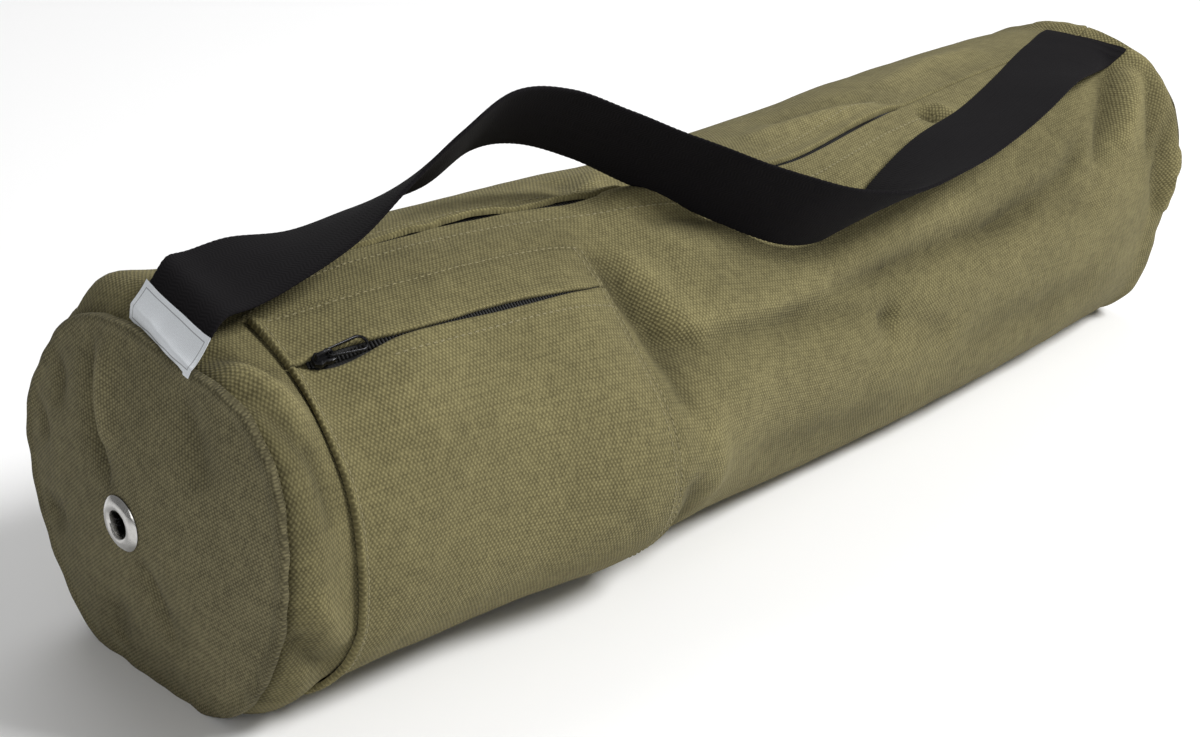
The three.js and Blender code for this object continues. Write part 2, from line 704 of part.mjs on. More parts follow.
function eyeletWasher(material) {
  const inner = eyeletHole;
  const outer = EYELET.washer / 2;
  const front = -BAG.canvas - SEAM.gap;
  return eyeletRing('eyelet_washer', [
    [front - EYELET.washer_thickness, inner],
    [front, inner],
    [front, outer],
    [front - EYELET.washer_thickness, outer],
  ], material);
}

const canvas = new THREE.MeshStandardMaterial({ color: 0x8b8462, roughness: 0.95, metalness: 0 });
const webbing = new THREE.MeshStandardMaterial({ color: 0x1c1a1c, roughness: 0.85, metalness: 0 });
const blackTape = new THREE.MeshStandardMaterial({ color: 0x141414, roughness: 0.8, metalness: 0 });
const blackMetal = new THREE.MeshStandardMaterial({ color: 0x202022, roughness: 0.35, metalness: 0.8 });
const nickel = new THREE.MeshStandardMaterial({ color: 0xc9c9c4, roughness: 0.25, metalness: 1 });
const satin = new THREE.MeshStandardMaterial({ color: 0xe6e8ea, roughness: 0.6, metalness: 0 });

const bag = new THREE.Group();
bag.add(bodyShell(canvas));
bag.add(endPanel('near_end_panel', -1, BAG.near_dome, eyeletHole, canvas));
bag.add(endPanel('far_end_panel', 1, BAG.far_dome, 0, canvas));
bag.add(eyeletFlange(nickel));
bag.add(eyeletWasher(nickel));

bag.add(mainZipTape(blackTape));
const mainCoilTop = -BAG.canvas + MAIN_ZIP.coil;
bag.add(coilBar('main_zip_coil', zipStart + MAIN_ZIP.coil_end, zipEnd - MAIN_ZIP.coil_end, zipAround,
  MAIN_ZIP.coil_width, -BAG.canvas, mainCoilTop, blackTape));
bag.add(sliderWithPull('main', zipStart + MAIN_PULL.slider_from_start, zipAround,
  Math.max(mainCoilTop, 0) + SEAM.lay, MAIN_PULL, blackMetal));

bag.add(pocketPanel('pocket_top_strip', POCKET.top_angle, zipFrom, POCKET.top_angle, canvas));
bag.add(pocketPanel('pocket_front', zipTo, POCKET.bottom_angle, POCKET.bottom_angle, canvas));
bag.add(pocketZipTape(blackTape));
const pocketZipAround = (x) => gridAround(x, POCKET.zip_angle);
const pocketCoilBottom = 2 * SEAM.gap + POCKET_ZIP.tape;
bag.add(coilBar('pocket_zip_coil', pocketLeft + POCKET_ZIP.coil_end, pocketRight - POCKET_ZIP.coil_end,
  pocketZipAround, POCKET_ZIP.coil_width, pocketCoilBottom, pocketCoilBottom + POCKET_ZIP.coil, blackTape));
bag.add(sliderWithPull('pocket', pocketLeft + POCKET_PULL.slider_from_start, pocketZipAround,
  pocketCoilBottom + Math.max(POCKET_ZIP.coil, POCKET.canvas) + SEAM.lay, POCKET_PULL, blackMetal));

const labelEnd = labelShare();
const labelStops = fillStops([0, labelEnd], 1 / STRAP_STEPS);
const labelBottom = STRAP.thickness + SEAM.gap;
const strapStops = [...labelStops, ...fillStops([labelEnd, 1], 1 / STRAP_STEPS).slice(1)];
bag.add(strapSolid('carry_strap', strapStops, STRAP.width / 2, 0, STRAP.thickness, webbing));
const labelTop = labelBottom + LABEL.thickness;
bag.add(strapSolid('strap_label', labelStops, LABEL.width / 2, labelBottom, labelTop, satin));

export default bag;
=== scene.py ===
"""Soft canvas yoga mat bag: body, end panels, zipped pocket, strap, label, zips and eyelet.

Laid out as a Blender add-on and run as a script. Shape functions work in millimetres, in the
CAD model's frame: X along the bag, -Y the pocket side, Z up from the floor. Meshes are in metres.
"""
import json
import math

import bpy
import numpy as np
from bpy.props import FloatProperty, FloatVectorProperty, PointerProperty
from mathutils import Matrix, Vector, noise


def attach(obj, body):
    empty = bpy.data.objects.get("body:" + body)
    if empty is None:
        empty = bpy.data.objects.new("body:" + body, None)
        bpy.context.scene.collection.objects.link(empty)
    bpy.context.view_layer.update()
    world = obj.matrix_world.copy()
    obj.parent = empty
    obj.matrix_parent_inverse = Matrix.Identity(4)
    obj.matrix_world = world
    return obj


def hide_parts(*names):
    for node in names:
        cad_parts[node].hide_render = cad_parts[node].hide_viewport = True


bl_info = {
    "name": "Yoga mat bag",
    "version": (1, 0, 0),
    "blender": (4, 5, 0),
    "location": "View3D > Sidebar > Mat Bag",
    "description": "Builds a soft canvas yoga mat bag over its CAD frame",
    "category": "Add Mesh",
}

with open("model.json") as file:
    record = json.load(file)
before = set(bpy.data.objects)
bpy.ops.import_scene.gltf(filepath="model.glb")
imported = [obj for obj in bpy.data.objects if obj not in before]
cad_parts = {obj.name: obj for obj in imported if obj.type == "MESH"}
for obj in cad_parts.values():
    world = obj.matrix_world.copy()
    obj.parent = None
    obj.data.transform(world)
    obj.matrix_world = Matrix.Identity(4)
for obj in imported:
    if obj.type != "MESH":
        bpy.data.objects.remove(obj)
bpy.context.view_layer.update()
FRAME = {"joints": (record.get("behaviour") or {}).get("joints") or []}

MM = 0.001
MM_PER_DEGREE = 1.6    # around the bag, at its mean radius
ROOT = "bag"


def table(names, *rows):
    """Rows of numbers as one array for each named column."""
    return dict(zip(names.split(), np.array(rows, float).T))


# Cross-sections along the bag, as in the part's source.
SECTIONS = table(
    "along width height belly",
    (-0.5, 0.99, 1.0, 2.3), (-0.44, 1.0, 1.02, 2.6), (-0.29, 0.98, 1.015, 2.3),
    (-0.15, 0.95, 1.0, 2.45), (0.0, 0.95, 0.985, 3.1), (0.15, 0.94, 0.99, 3.2), (0.3, 0.92, 1.015, 3.0),
    (0.44, 0.88, 1.02, 2.7), (0.5, 0.87, 1.0, 2.4),
)

# Main swells and dents, close to the part's source: along, around, long, wide, turn, drift, lift.
FOLDS = {
    "near shoulder": (-0.50, 36, 0.07, 15, 0, 0, 0.060),
    "near top flat": (-0.50, 68, 0.06, 12, 0, 0, -0.035),
    "near top back": (-0.464, 117, 0.028, 16, 0, 0, 0.030),
    "near seam tuck": (-0.50, 118, 0.014, 26, 0, 0, -0.034),
    "near back": (-0.50, 176, 0.05, 16, 0, 0, 0.018),
    "near back flat": (-0.50, 148, 0.06, 13, 0, 0, -0.030),
    "near lower front": (-0.50, -31, 0.035, 18, 0, 0, -0.040),
    "near lower back": (-0.50, 237, 0.08, 16, 0, 0, 0.045),
    "strip hollow": (-0.455, 15, 0.018, 40, 0, 0, -0.020),
    "pocket corner": (-0.43, 40, 0.026, 15, 0, 0, -0.086),
    "pocket underside": (-0.36, -56, 0.05, 16, 0, 0, -0.012),
    "pocket swell": (-0.205, -8, 0.07, 25, 0, 0, 0.125),
    "pocket lower": (-0.415, -54, 0.030, 16, 0, 0, -0.022),
    "pocket valley": (-0.165, 34, 0.030, 17, 0, 0, -0.085),
    "side crease": (-0.05, 14, 0.085, 6, -54, 0, -0.022),
    "side swell": (-0.03, -6, 0.09, 12, -20, 0, 0.020),
    "side dimple": (0.076, 1, 0.022, 8, 0, 0, -0.022),
    "long valley": (0.17, 21, 0.12, 8, 0, 0, -0.044),
    "strap dent": (-0.015, 39, 0.055, 12, -20, 0, -0.028),
    "back ridge": (0.17, 100, 0.03, 16, 0, 0.002, 0.014),
    "back dent": (-0.02, 112, 0.06, 14, 0, 0, -0.018),
    "far pleat": (0.425, 46, 0.022, 16, 0, 0.0018, -0.022),
    "far shoulder": (0.50, 42, 0.035, 18, 0, 0, 0.035),
    "far side dent": (0.50, -18, 0.05, 16, 0, 0, -0.045),
}

# Sharper creases and rolls of the cloth: path of (x in mm, degrees around), half width in mm,
# depth in mm (+ is a roll, - a crease) and the exponent that sharpens the profile.
WRINKLES = {
    "corner crease": (((-127, 58), (-122, 45), (-117, 30), (-118, 18), (-119, 4)), 9, -4.2, 1.4),
    "corner roll": (((-112, 56), (-104, 42), (-98, 28), (-90, 18)), 9, 2.6, 1.8),
    "corner pit": (((-117, 27), (-106, 22), (-90, 19)), 9, -2.0, 1.5),
    "under strap hollow": (((-84, 38), (-20, 34), (60, 33), (140, 33), (210, 38), (280, 50)), 24, -1.1, 1.8),
    "side crease upper": (((-117, 22), (-100, 19), (-60, 17), (-10, 13), (48, 6)), 7, -2.2, 1.3),
    "side roll": (((-108, 26), (-70, 25), (-20, 21), (40, 13)), 9, 1.6, 1.8),
    "dimple": (((44, 2), (60, -1)), 8, -3.0, 1.6),
    "dimple ray": (((60, 0), (84, -6), (104, -14)), 7, -1.4, 1.3),
    "long valley line": (((-32, 17), (24, 18), (84, 19), (148, 17), (196, 18)), 8, -3.0, 1.25),
    "long valley bank": (((-20, 27), (40, 28), (100, 29), (160, 27)), 12, 1.8, 2.0),
    "valley rise": (((146, 17), (190, 20), (226, 26), (250, 36)), 8, -2.6, 1.4),
    "valley end": (((196, 16), (228, 14), (250, 8)), 9, -1.4, 1.5),
    "far pleat line": (((318, 62), (300, 52), (284, 42), (268, 33), (256, 24)), 7, -3.8, 1.3),
    "far pleat roll": (((324, 54), (310, 44), (296, 34), (284, 26)), 7, 2.6, 1.7),
    "far fold": (((332, 52), (322, 40), (314, 28), (310, 18)), 5, -2.6, 1.3),
    "far facet": (((336, 34), (324, 24), (318, 10), (326, -6)), 6, -2.4, 1.3),
    "far facet edge": (((338, 20), (332, 8), (334, -8)), 5, 2.2, 1.6),
    "top roll": (((30, 88), (66, 86), (104, 82), (130, 78)), 9, 2.2, 1.6),
    "top roll shade": (((60, 96), (100, 92), (134, 86)), 8, -1.6, 1.5),
    "top far roll": (((150, 92), (200, 96), (250, 94)), 12, 1.8, 1.8),
    "tack dimple": (((141, 69), (150, 64)), 5, -3.0, 1.5),
    "tack ray": (((146, 66), (152, 57), (154, 50)), 4, -1.8, 1.3),
    "tack roll": (((156, 70), (160, 60), (162, 52)), 5, 1.6, 1.6),
    "zip bump": (((-96, 76), (-70, 71), (-40, 66)), 9, 2.4, 1.6),
    "zip bump shade": (((-92, 63), (-60, 58), (-30, 54)), 7, -1.6, 1.5),
    "zip ripple": (((-92, 84), (-76, 90), (-66, 98)), 8, 1.8, 1.6),
    "zip ripple shade": (((-110, 86), (-96, 92), (-88, 102)), 7, -1.5, 1.5),
    "strip crease": (((-339, 50), (-330, 40), (-320, 26), (-317, 10)), 6, -3.0, 1.3),
    "strip roll": (((-333, 58), (-322, 48), (-312, 36)), 6, 2.2, 1.7),
    "strip low crease": (((-336, -14), (-326, -26), (-312, -36)), 6, -2.4, 1.3),
    "strip low roll": (((-330, -4), (-318, -16), (-308, -26)), 6, 1.6, 1.6),
    "label shade": (((-334, 66), (-322, 60), (-312, 50)), 6, -2.4, 1.4),
    "pocket side wave": (((-122, -12), (-112, -26), (-104, -40)), 8, -2.4, 1.4),
    "pocket side roll": (((-108, 2), (-98, -12), (-92, -26)), 9, 1.6, 1.7),
    "belly drift": (((-60, -22), (10, -30), (80, -34)), 13, -1.6, 1.8),
    "far belly drift": (((120, -18), (190, -24), (260, -22)), 13, -1.8, 1.8),
    "strap end ridge": (((334, 44), (332, 62), (330, 84), (330, 104)), 5, 2.2, 1.8),
    "back crease low": (((-240, 190), (-150, 198), (-60, 194)), 10, -2.4, 1.4),
    "back crease high": (((-120, 150), (-20, 158), (70, 150)), 11, -2.4, 1.4),
    "back roll": (((-200, 166), (-100, 172), (0, 168)), 14, 2.0, 1.8),
    "back far crease": (((120, 176), (200, 184), (280, 180)), 10, -2.4, 1.4),
    "back far pleat": (((330, 150), (305, 160), (280, 166)), 7, -3.0, 1.3),
    "back near pleat": (((-332, 170), (-310, 164), (-280, 160)), 7, -2.8, 1.3),
    "back near fold": (((-334, 128), (-316, 134), (-300, 142)), 6, -2.2, 1.3),
}

# Creases of the two end panels: path of (y, z) in mm, half width, depth and exponent.
NEAR_CREASES = {
    "eyelet crease": (((30, 164), (27, 142), (22, 121), (13, 108), (3, 97)), 6, -3.0, 1.2),
    "eyelet roll": (((18, 164), (15, 140), (9, 120)), 8, 2.0, 1.8),
    "lower crease": (((-8, 78), (-13, 68), (-20, 54), (-24, 38)), 7, -1.8, 1.2),
    "edge ripple high": (((66, 148), (58, 136), (56, 120)), 7, -2.2, 1.4),
    "edge ripple mid": (((92, 118), (80, 108), (70, 98)), 7, -2.2, 1.4),
    "edge ripple low": (((84, 60), (70, 62), (58, 68)), 8, -2.0, 1.4),
    "corner fold": (((-38, 158), (-50, 140), (-58, 122)), 9, -1.6, 1.6),
    "foot fold": (((30, 14), (20, 30), (16, 44)), 8, -1.6, 1.5),
}
FAR_CREASES = {
    "upper crease": (((-30, 158), (-16, 136), (-4, 112)), 8, -2.2, 1.3),
    "side crease": (((-74, 110), (-54, 102), (-30, 96)), 8, -2.0, 1.4),
    "lower crease": (((34, 18), (22, 40), (8, 60)), 8, -2.0, 1.4),
    "back ripple": (((76, 116), (58, 106), (40, 100)), 8, -1.8, 1.5),
}

ZIP_LINE = table(
    "along around",
    (-0.5, 90), (-0.35, 89), (-0.24, 86), (-0.16, 80), (0.03, 67), (0.16, 73), (0.5, 80),
)

# Half the gap between the main zip's cloth lips, and how far the rear lip is rolled up, in mm.
ZIP_LIPS = table(
    "along gap roll",
    (-0.448, -0.15, 0.4), (-0.436, 2.8, 2.2), (-0.4, 1.4, 2.6), (-0.33, 0.5, 2.4), (-0.296, 1.6, 3.0),
    (-0.272, 0.7, 2.6), (-0.24, 2.2, 3.4), (-0.2, 0.6, 2.4), (-0.165, 2.4, 3.2), (-0.13, 0.2, 1.8),
    (-0.06, 0.1, 1.4), (0.02, 0.9, 1.6), (0.12, 1.2, 1.8), (0.185, 1.0, 1.6), (0.199, -0.15, 0.6),
)

# The pocket's top edge and slit, in degrees below the zip.
POCKET_LINES = table(
    "along top zip",
    (-0.4401, 15.5, 35.2), (-0.4182, 18.2, 37.5), (-0.38, 20.3, 39.0), (-0.33, 21.0, 39.6),
    (-0.226, 21.0, 39.4), (-0.1906, 21.0, 36.4),
)

# How far the pocket's near and far edges are drawn out of line, in mm, by degrees below the zip.
POCKET_EDGE = table(
    "below near far",
    (14, -2.5, 0.0), (38, -2.5, -2.0), (58, -5.0, -6.0), (78, -4.5, -4.0), (110, -3.0, 0.5),
    (128, -4.5, 0.0), (146, -9.0, 1.0),
)

# Half the pocket slit, in degrees around the bag.
POCKET_LIPS = table(
    "along gap",
    (-0.4401, 0.15), (-0.4335, 0.4), (-0.423, 1.7), (-0.412, 2.4), (-0.4, 2.1), (-0.387, 1.2),
    (-0.37, 0.35), (-0.335, 0.35), (-0.305, 0.85), (-0.27, 0.8), (-0.24, 0.35), (-0.215, 0.1),
    (-0.1906, 0.05),
)

STRAP_LINE = table(
    "along around lift tilt skew flat",
    (-0.497, 78, 0.06, -14, -8, 0.7), (-0.484, 78, 0.15, -13, -7, 0.1),
    (-0.466, 80, 0.22, -13, -5, 0.0), (-0.425, 81, 0.25, -9, 0, 0.0), (-0.376, 80, 0.3, 10, 2, 0.0),
    (-0.328, 81, 0.47, 27, -1, 0.0), (-0.283, 79.5, 0.7, 44, -3, 0.0), (-0.237, 81, 0.9, 45, -2, 0.0),
    (-0.191, 80.5, 0.84, 41, 2, 0.0), (-0.148, 76, 0.64, 37, 4, 0.0), (-0.107, 66.5, 0.43, 40, 5, 0.0),
    (-0.07, 53.5, 0.38, 43, 6, 0.0), (-0.03, 42, 0.46, 46, 10, 0.0), (0.01, 37, 0.47, 43, 11, 0.0),
    (0.047, 36.5, 0.46, 32, 9, 0.0), (0.09, 40, 0.44, 16, 7, 0.0), (0.161, 45, 0.36, 3, 7, 0.0),
    (0.248, 50.5, 0.26, 6, 10, 0.0), (0.332, 59, 0.18, 8, 14, 0.1), (0.414, 69, 0.06, 8, 18, 0.6),
    (0.454, 74.5, 0.02, 17, 15, 0.9), (0.484, 77.5, 0.0, 22, 6, 1.0),
)

# The pocket's start and length in mm, from the near seam, and its bottom edge in degrees below the zip.
POCKET = {"start": 41, "length": 171, "bottom": 145}

# Each zip: the ends of its coil and its slider's place, in mm from the near seam, its slider's height over
# the cloth, its joint and that joint's axis on the slider, the coil's width and the tape's half width, each
# with its bottom and top over the cloth, and the size of its pull and how it turns and droops, in degrees.
ZIPS = {
    "main": {"ends": (39, 477), "slider": 45, "seat": 0.7, "joint": "main_pull_swivel", "axis": (0, 0, 1),
             "coil": (4.4, -1.7, -0.4), "tape": (11.0, -2.3, -1.75),
             "pull": {"length": 21, "width": 7, "turn": -90, "droop": 4}},
    "pocket": {"ends": (48, 199), "slider": 56, "seat": 3.4, "joint": "pocket_pull_hinge", "axis": (0, -1, 0),
               "coil": (3.6, 0.9, 2.0), "tape": (9.0, 0.25, 0.8),
               "pull": {"length": 20, "width": 8.4, "turn": 0, "droop": 9}},
}
ZIP_SLIT = 6
SLIDER_SIZE = (10, 7, 3)
BRIDGE = {"wire": 1.4, "room": 2.6, "length": 6}
PULL_WIRE = 1.4
HOOK_GAP = 0.5
THREAD_RADIUS = 0.42
WASHER_RADIUS = 11.0

# Unevenness of the cloth: height and size in mm, and seed.
BODY_RIPPLES = ((0.75, 46.0, 3.1), (0.35, 17.0, 8.7))
PANEL_RIPPLES = ((0.8, 38.0, 5.3), (0.3, 15.0, 2.2))

# Rows of stitches on the cloth: which cloth they are on, and the path of (x, degrees below the
# main zip's front lip).
STITCH_ROWS = {
    "zip_front": ("body", ((-304, 13), (-272, 8), (-243, 6), (-209, 6), (-168, 7), (-119, 7), (-92, 8),
                           (-54, 9), (0, 8), (60, 7), (138, 7))),
    "zip_rear": ("body", ((-304, 353), (-200, 353), (-60, 353), (60, 353), (138, 353))),
    "zip_near_end": ("body", ((-309, 353), (-309, 360))),
    "zip_far_tack": ("body", ((140.5, 354), (140.5, 359.6))),
    "pocket_top": ("pocket", ((-296, 18.6), (-280, 20.7), (-260, 22.1), (-226, 22.9), (-135, 22.9))),
    "pocket_slit": ("pocket", ((-262, 43.8), (-240, 44.4), (-210, 44.6), (-135, 44.4))),
    "pocket_left": ("pocket", ((-298.4, 20), (-298.4, 31))),
    "pocket_left_low": ("pocket", ((-298.4, 38), (-298.4, 80), (-298.4, 110), (-298.4, 142))),
    "pocket_right": ("pocket", ((-133.4, 23), (-133.4, 60), (-133.4, 100), (-133.4, 143))),
    "pocket_right_inner": ("pocket", ((-138.4, 23), (-138.4, 60), (-138.4, 100), (-138.4, 142))),
    "pocket_bottom": ("pocket", ((-296, 142.6), (-210, 142.6), (-136, 142.6))),
}

# Turned-in ends of the body's cloth: distance from the seam and drop, in mm.
TURNED_END = table(
    "reach drop",
    (1.3, 10.0), (0.35, 4.6), (0.8, 3.5), (1.4, 2.7), (2.2, 1.9), (3.2, 1.15), (4.4, 0.55), (5.8, 0.15),
)

# Outermost rings of an end panel: share of its radius, and how far each lies inwards and proud, in mm.
PANEL_RIM = table(
    "share inwards proud",
    (0.958, -0.6, 0.2), (0.972, -1.0, 0.8), (0.984, -1.0, 1.3), (0.993, -0.2, 1.5), (1.0, 1.2, 1.1),
    (1.0, 2.4, -3.5),
)
FAR_PANEL_IN = 2.4

# Rows of points beside the zip's lips in degrees, in from the pocket's edges in mm, and across the strap.
LIP_STOPS = np.array((0.0, 0.15, 0.4, 0.8, 1.4, 2.2, 3.2))
HEM_STOPS = np.array((0.0, 0.3, 0.7, 1.3, 1.9, 2.5, 3.1, 3.7, 4.4, 5.4))
STRAP_STOPS = (-1.0, -0.985, -0.95, -0.88, -0.75, -0.5, -0.25, 0.0, 0.25, 0.5, 0.75, 0.88, 0.95, 0.985, 1.0)

# Middle of a bridge's far leg from its slider's middle, and the point that the pull turns about.
BRIDGE_LEG = (BRIDGE["length"] + BRIDGE["wire"]) / 2
BRIDGE_TOP = Vector((BRIDGE_LEG, 0, SLIDER_SIZE[2] + BRIDGE["room"] / 2)) * MM

# Studio: softboxes with their place and size, and the camera's place and ways, in metres.
SOFTBOXES = (("key", (1.1, -1.9, 2.2), 0.9), ("back", (1.0, 1.7, 2.4), 2.2), ("side", (-2.2, -0.9, 1.1), 1.2))
LIT_POINT = Vector((0, 0, 0.08))
CAMERA_PLACE = Vector((-0.7352, -0.6711, 0.4853))
CAMERA_RIGHT = Vector((0.71222, -0.70196, 0.0))
CAMERA_UP = Vector((0.28259, 0.28673, 0.91538))


class MatBagForm(bpy.types.PropertyGroup):
    """Sizes of the bag's cloth form, in millimetres."""

    length: FloatProperty(name="Length", description="Seam to seam, in mm", default=685.0, min=100.0)
    half_width: FloatProperty(name="Half width", description="At the near end, in mm", default=97.0, min=20.0)
    height: FloatProperty(name="Height", description="As it lies, in mm", default=174.0, min=20.0)
    squareness: FloatProperty(name="Squareness", description="Of the upper half", default=2.3, min=2.0)
    sag: FloatProperty(name="Sag", description="How far the underside would hang", default=1.03, min=1.0)
    cloth: FloatProperty(name="Cloth", description="Canvas thickness, in mm", default=1.6, min=0.5)
    near_dome: FloatProperty(name="Near dome", description="Swell of the near panel, in mm", default=14.0)
    far_dome: FloatProperty(name="Far dome", description="Swell of the far panel, in mm", default=10.0)
    crease: FloatProperty(name="Creases", description="How strongly creases show", default=2.0, min=0.0)
    seam_roll: FloatProperty(name="Seam roll", description="Roll beside each end seam, in mm", default=3.3)


class MatBagCloth(bpy.types.PropertyGroup):
    """Colours and weave of the canvas."""

    light: FloatVectorProperty(
        name="Light", description="Top of the threads", subtype="COLOR", default=(0.212, 0.186, 0.088))
    # Darker colour between the thread tops: painted shade of the weave's hollows.
    gap_painted_shade: FloatVectorProperty(
        name="Dark", description="Between the threads", subtype="COLOR", default=(0.080, 0.069, 0.032))
    panel_light: FloatVectorProperty(
        name="Panel light", description="Panel threads", subtype="COLOR", default=(0.212, 0.188, 0.103))
    # Darker colour between the panel's thread tops: painted shade of the weave's hollows.
    panel_gap_painted_shade: FloatVectorProperty(
        name="Panel dark", description="Between them", subtype="COLOR", default=(0.062, 0.054, 0.030))
    thread: FloatVectorProperty(
        name="Thread", description="Stitching thread", subtype="COLOR", default=(0.225, 0.196, 0.094))
    weave: FloatProperty(name="Weave", description="Between thread tops, in mm", default=1.9, min=0.2)
    stitch: FloatProperty(name="Stitch", description="Length of one stitch, in mm", default=2.6, min=0.5)
    stitch_gap: FloatProperty(name="Stitch gap", description="Between stitches, in mm", default=1.1, min=0.1)


class MatBagTrim(bpy.types.PropertyGroup):
    """Sizes and colours of the strap, label, zips and eyelet."""

    strap_width: FloatProperty(name="Strap width", description="In mm", default=50.0, min=5.0)
    strap_thickness: FloatProperty(name="Strap thickness", description="In mm", default=2.0, min=0.5)
    strap_arch: FloatProperty(name="Strap arch", description="Its height, in mm", default=55.0, min=0.0)
    label_width: FloatProperty(name="Label width", description="In mm", default=52.0, min=5.0)
    label_height: FloatProperty(name="Label height", description="In mm", default=18.0, min=5.0)
    label_tuck: FloatProperty(name="Label tuck", description="Reach past the strap, in mm", default=5.0)
    eyelet_hole: FloatProperty(name="Eyelet hole", description="Diameter, in mm", default=12.4, min=2.0)
    eyelet_flange: FloatProperty(name="Eyelet flange", description="Diameter, in mm", default=25.4, min=4.0)
    webbing: FloatVectorProperty(
        name="Webbing", description="Strap colour", subtype="COLOR", default=(0.0045, 0.0040, 0.0046))
    zip: FloatVectorProperty(
        name="Zip", description="Zip tape and coil", subtype="COLOR", default=(0.006, 0.006, 0.006))
    metal: FloatVectorProperty(
        name="Eyelet metal", description="Plated eyelet", subtype="COLOR", default=(0.55, 0.54, 0.52))
    label: FloatVectorProperty(
        name="Label", description="Label cloth", subtype="COLOR", default=(0.70, 0.73, 0.76))


class MatBagStage(bpy.types.PropertyGroup):
    """Floor, light and camera."""

    floor: FloatVectorProperty(
        name="Floor", description="Floor colour", subtype="COLOR", default=(0.93, 0.93, 0.93))
    sky: FloatProperty(name="Sky", description="Strength of the surrounding light", default=0.26, min=0.0)
    key: FloatProperty(name="Key", description="Main softbox", unit="POWER", default=106.0, min=0.0)
    back: FloatProperty(name="Back", description="High softbox behind", unit="POWER", default=32.0, min=0.0)
    side: FloatProperty(name="Side", description="Low near softbox", unit="POWER", default=9.5, min=0.0)
    lens: FloatProperty(name="Lens", description="On a 36 mm wide frame, in mm", default=60.0, min=10.0)


# Shape functions

def bell(distance, width):
    """1 at no distance, falling smoothly to nothing past the width."""
    return np.exp(-((distance / width) ** 2))


def ramp(value):
    """The value, kept between 0 and 1."""
    return np.clip(value, 0, 1)


def run_along(line):
    """Length run up to each point of a line."""
    return np.concatenate([[0], np.cumsum(np.linalg.norm(np.diff(line, axis=0), axis=1))])


def fill_between(ends, step):
    """Even stops from one end to the other, at most a step apart."""
    count = max(1, math.ceil(abs(ends[1] - ends[0]) / step))
    return np.linspace(ends[0], ends[1], count + 1)


def column(rows, name, along, key="along"):
    """One column of a table at places along the bag, read smoothly."""
    stops, values = rows[key], rows[name]
    along = np.clip(along, stops[0], stops[-1])
    i = np.clip(np.searchsorted(stops, along) - 1, 0, len(stops) - 2)
    before, after = np.maximum(i - 1, 0), np.minimum(i + 2, len(stops) - 1)
    span = stops[i + 1] - stops[i]
    t = (along - stops[i]) / span
    slope_in = (values[i + 1] - values[before]) / (stops[i + 1] - stops[before]) * span
    slope_out = (values[after] - values[i]) / (stops[after] - stops[i]) * span
    t2, t3 = t * t, t * t * t
    return ((2 * t3 - 3 * t2 + 1) * values[i] + (t3 - 2 * t2 + t) * slope_in
            + (3 * t2 - 2 * t3) * values[i + 1] + (t3 - t2) * slope_out)


def turn_between(a, b):
    """Smallest turn from b to a, in degrees."""
    return (a - b + 180.0) % 360.0 - 180.0


def line_depth(u, v, path, width, depth, sharp):
    """Height of a crease or roll along a path, fading at its ends."""
    best = np.full(np.shape(u), np.inf)
    place = np.zeros(np.shape(u))
    marks = run_along(np.array(path, float))
    for (ua, va), (ub, vb), start, stop in zip(path, path[1:], marks, marks[1:]):
        size = stop - start
        t = ramp(((u - ua) * (ub - ua) + (v - va) * (vb - va)) / (size * size))
        far = np.hypot(u - ua - t * (ub - ua), v - va - t * (vb - va))
        place = np.where(far < best, (start + t * size) / marks[-1], place)
        best = np.minimum(best, far)
    fade = 0.12 + 0.88 * np.sqrt(ramp(4.0 * place * (1.0 - place)))
    return depth * fade * np.exp(-((best / width) ** sharp))


def wrinkle_height(form, x, around):
    """Sharper creases and rolls, in mm."""
    total = 0.0
    for path, width, depth, sharp in WRINKLES.values():
        middle = path[len(path) // 2][1]
        flat = [(px, pa * MM_PER_DEGREE) for px, pa in path]
        turned = (middle + turn_between(around, middle)) * MM_PER_DEGREE
        total = total + line_depth(x, turned, flat, width, depth * form.crease, sharp)
    return total


def fold_lift(form, along, around):
    """Main swells and dents, in mm."""
    total = 0.0
    for at, middle, long, wide, turn, drift, lift in FOLDS.values():
        s = (along - at - drift * turn_between(around, middle)) / long
        w = turn_between(around, middle + turn * (along - at)) / wide
        total = total + lift * form.height * np.exp(-0.5 * (s * s + w * w))
    return total


def seam_roll(form, x):
    """Roll of cloth beside each end seam, broader at the near one, in mm."""
    reach = form.length / 2 - np.abs(x)
    near = 1.5 * np.exp(-0.5 * ((reach - 17.0) / 8.5) ** 2)
    far = 0.9 * np.exp(-0.5 * ((reach - 9.0) / 5.4) ** 2)
    return form.seam_roll * np.where(x < 0, near, far)


def section_middle(form, along):
    return column(SECTIONS, "height", along) * form.height / 2


def section_radius(form, along, around):
    """Distance of the cloth's outer face from the section's middle, without fine creases."""
    a = column(SECTIONS, "width", along) * form.half_width
    half = section_middle(form, along)
    angle = np.radians(around)
    lower = np.sin(angle) < 0
    b = np.where(lower, half * form.sag, half)
    n = np.where(lower, column(SECTIONS, "belly", along), form.squareness)
    base = (np.abs(np.cos(angle) / a) ** n + np.abs(np.sin(angle) / b) ** n) ** (-1 / n)
    return base + fold_lift(form, along, around) + seam_roll(form, along * form.length)


def unevenness(points, ripples):
    """Smooth noise at each point, in mm, summed over ripples of (height, size, seed)."""
    flat = np.reshape(points, (-1, 3))
    total = sum(height * np.array([noise.noise(Vector(p)) for p in flat / size + seed])
                for height, size, seed in ripples)
    return total.reshape(np.shape(points)[:-1])


def seam_pucker(form, x, around):
    """Small gathers that run out from the two end seams."""
    reach = form.length / 2 - np.abs(x)
    s = around * MM_PER_DEGREE
    return 0.55 * np.sin(s / 3.1 + 1.7 * np.sin(s / 23.0)) * np.sin(s / 13.0 + 0.8) * np.exp(-reach / 14.0)


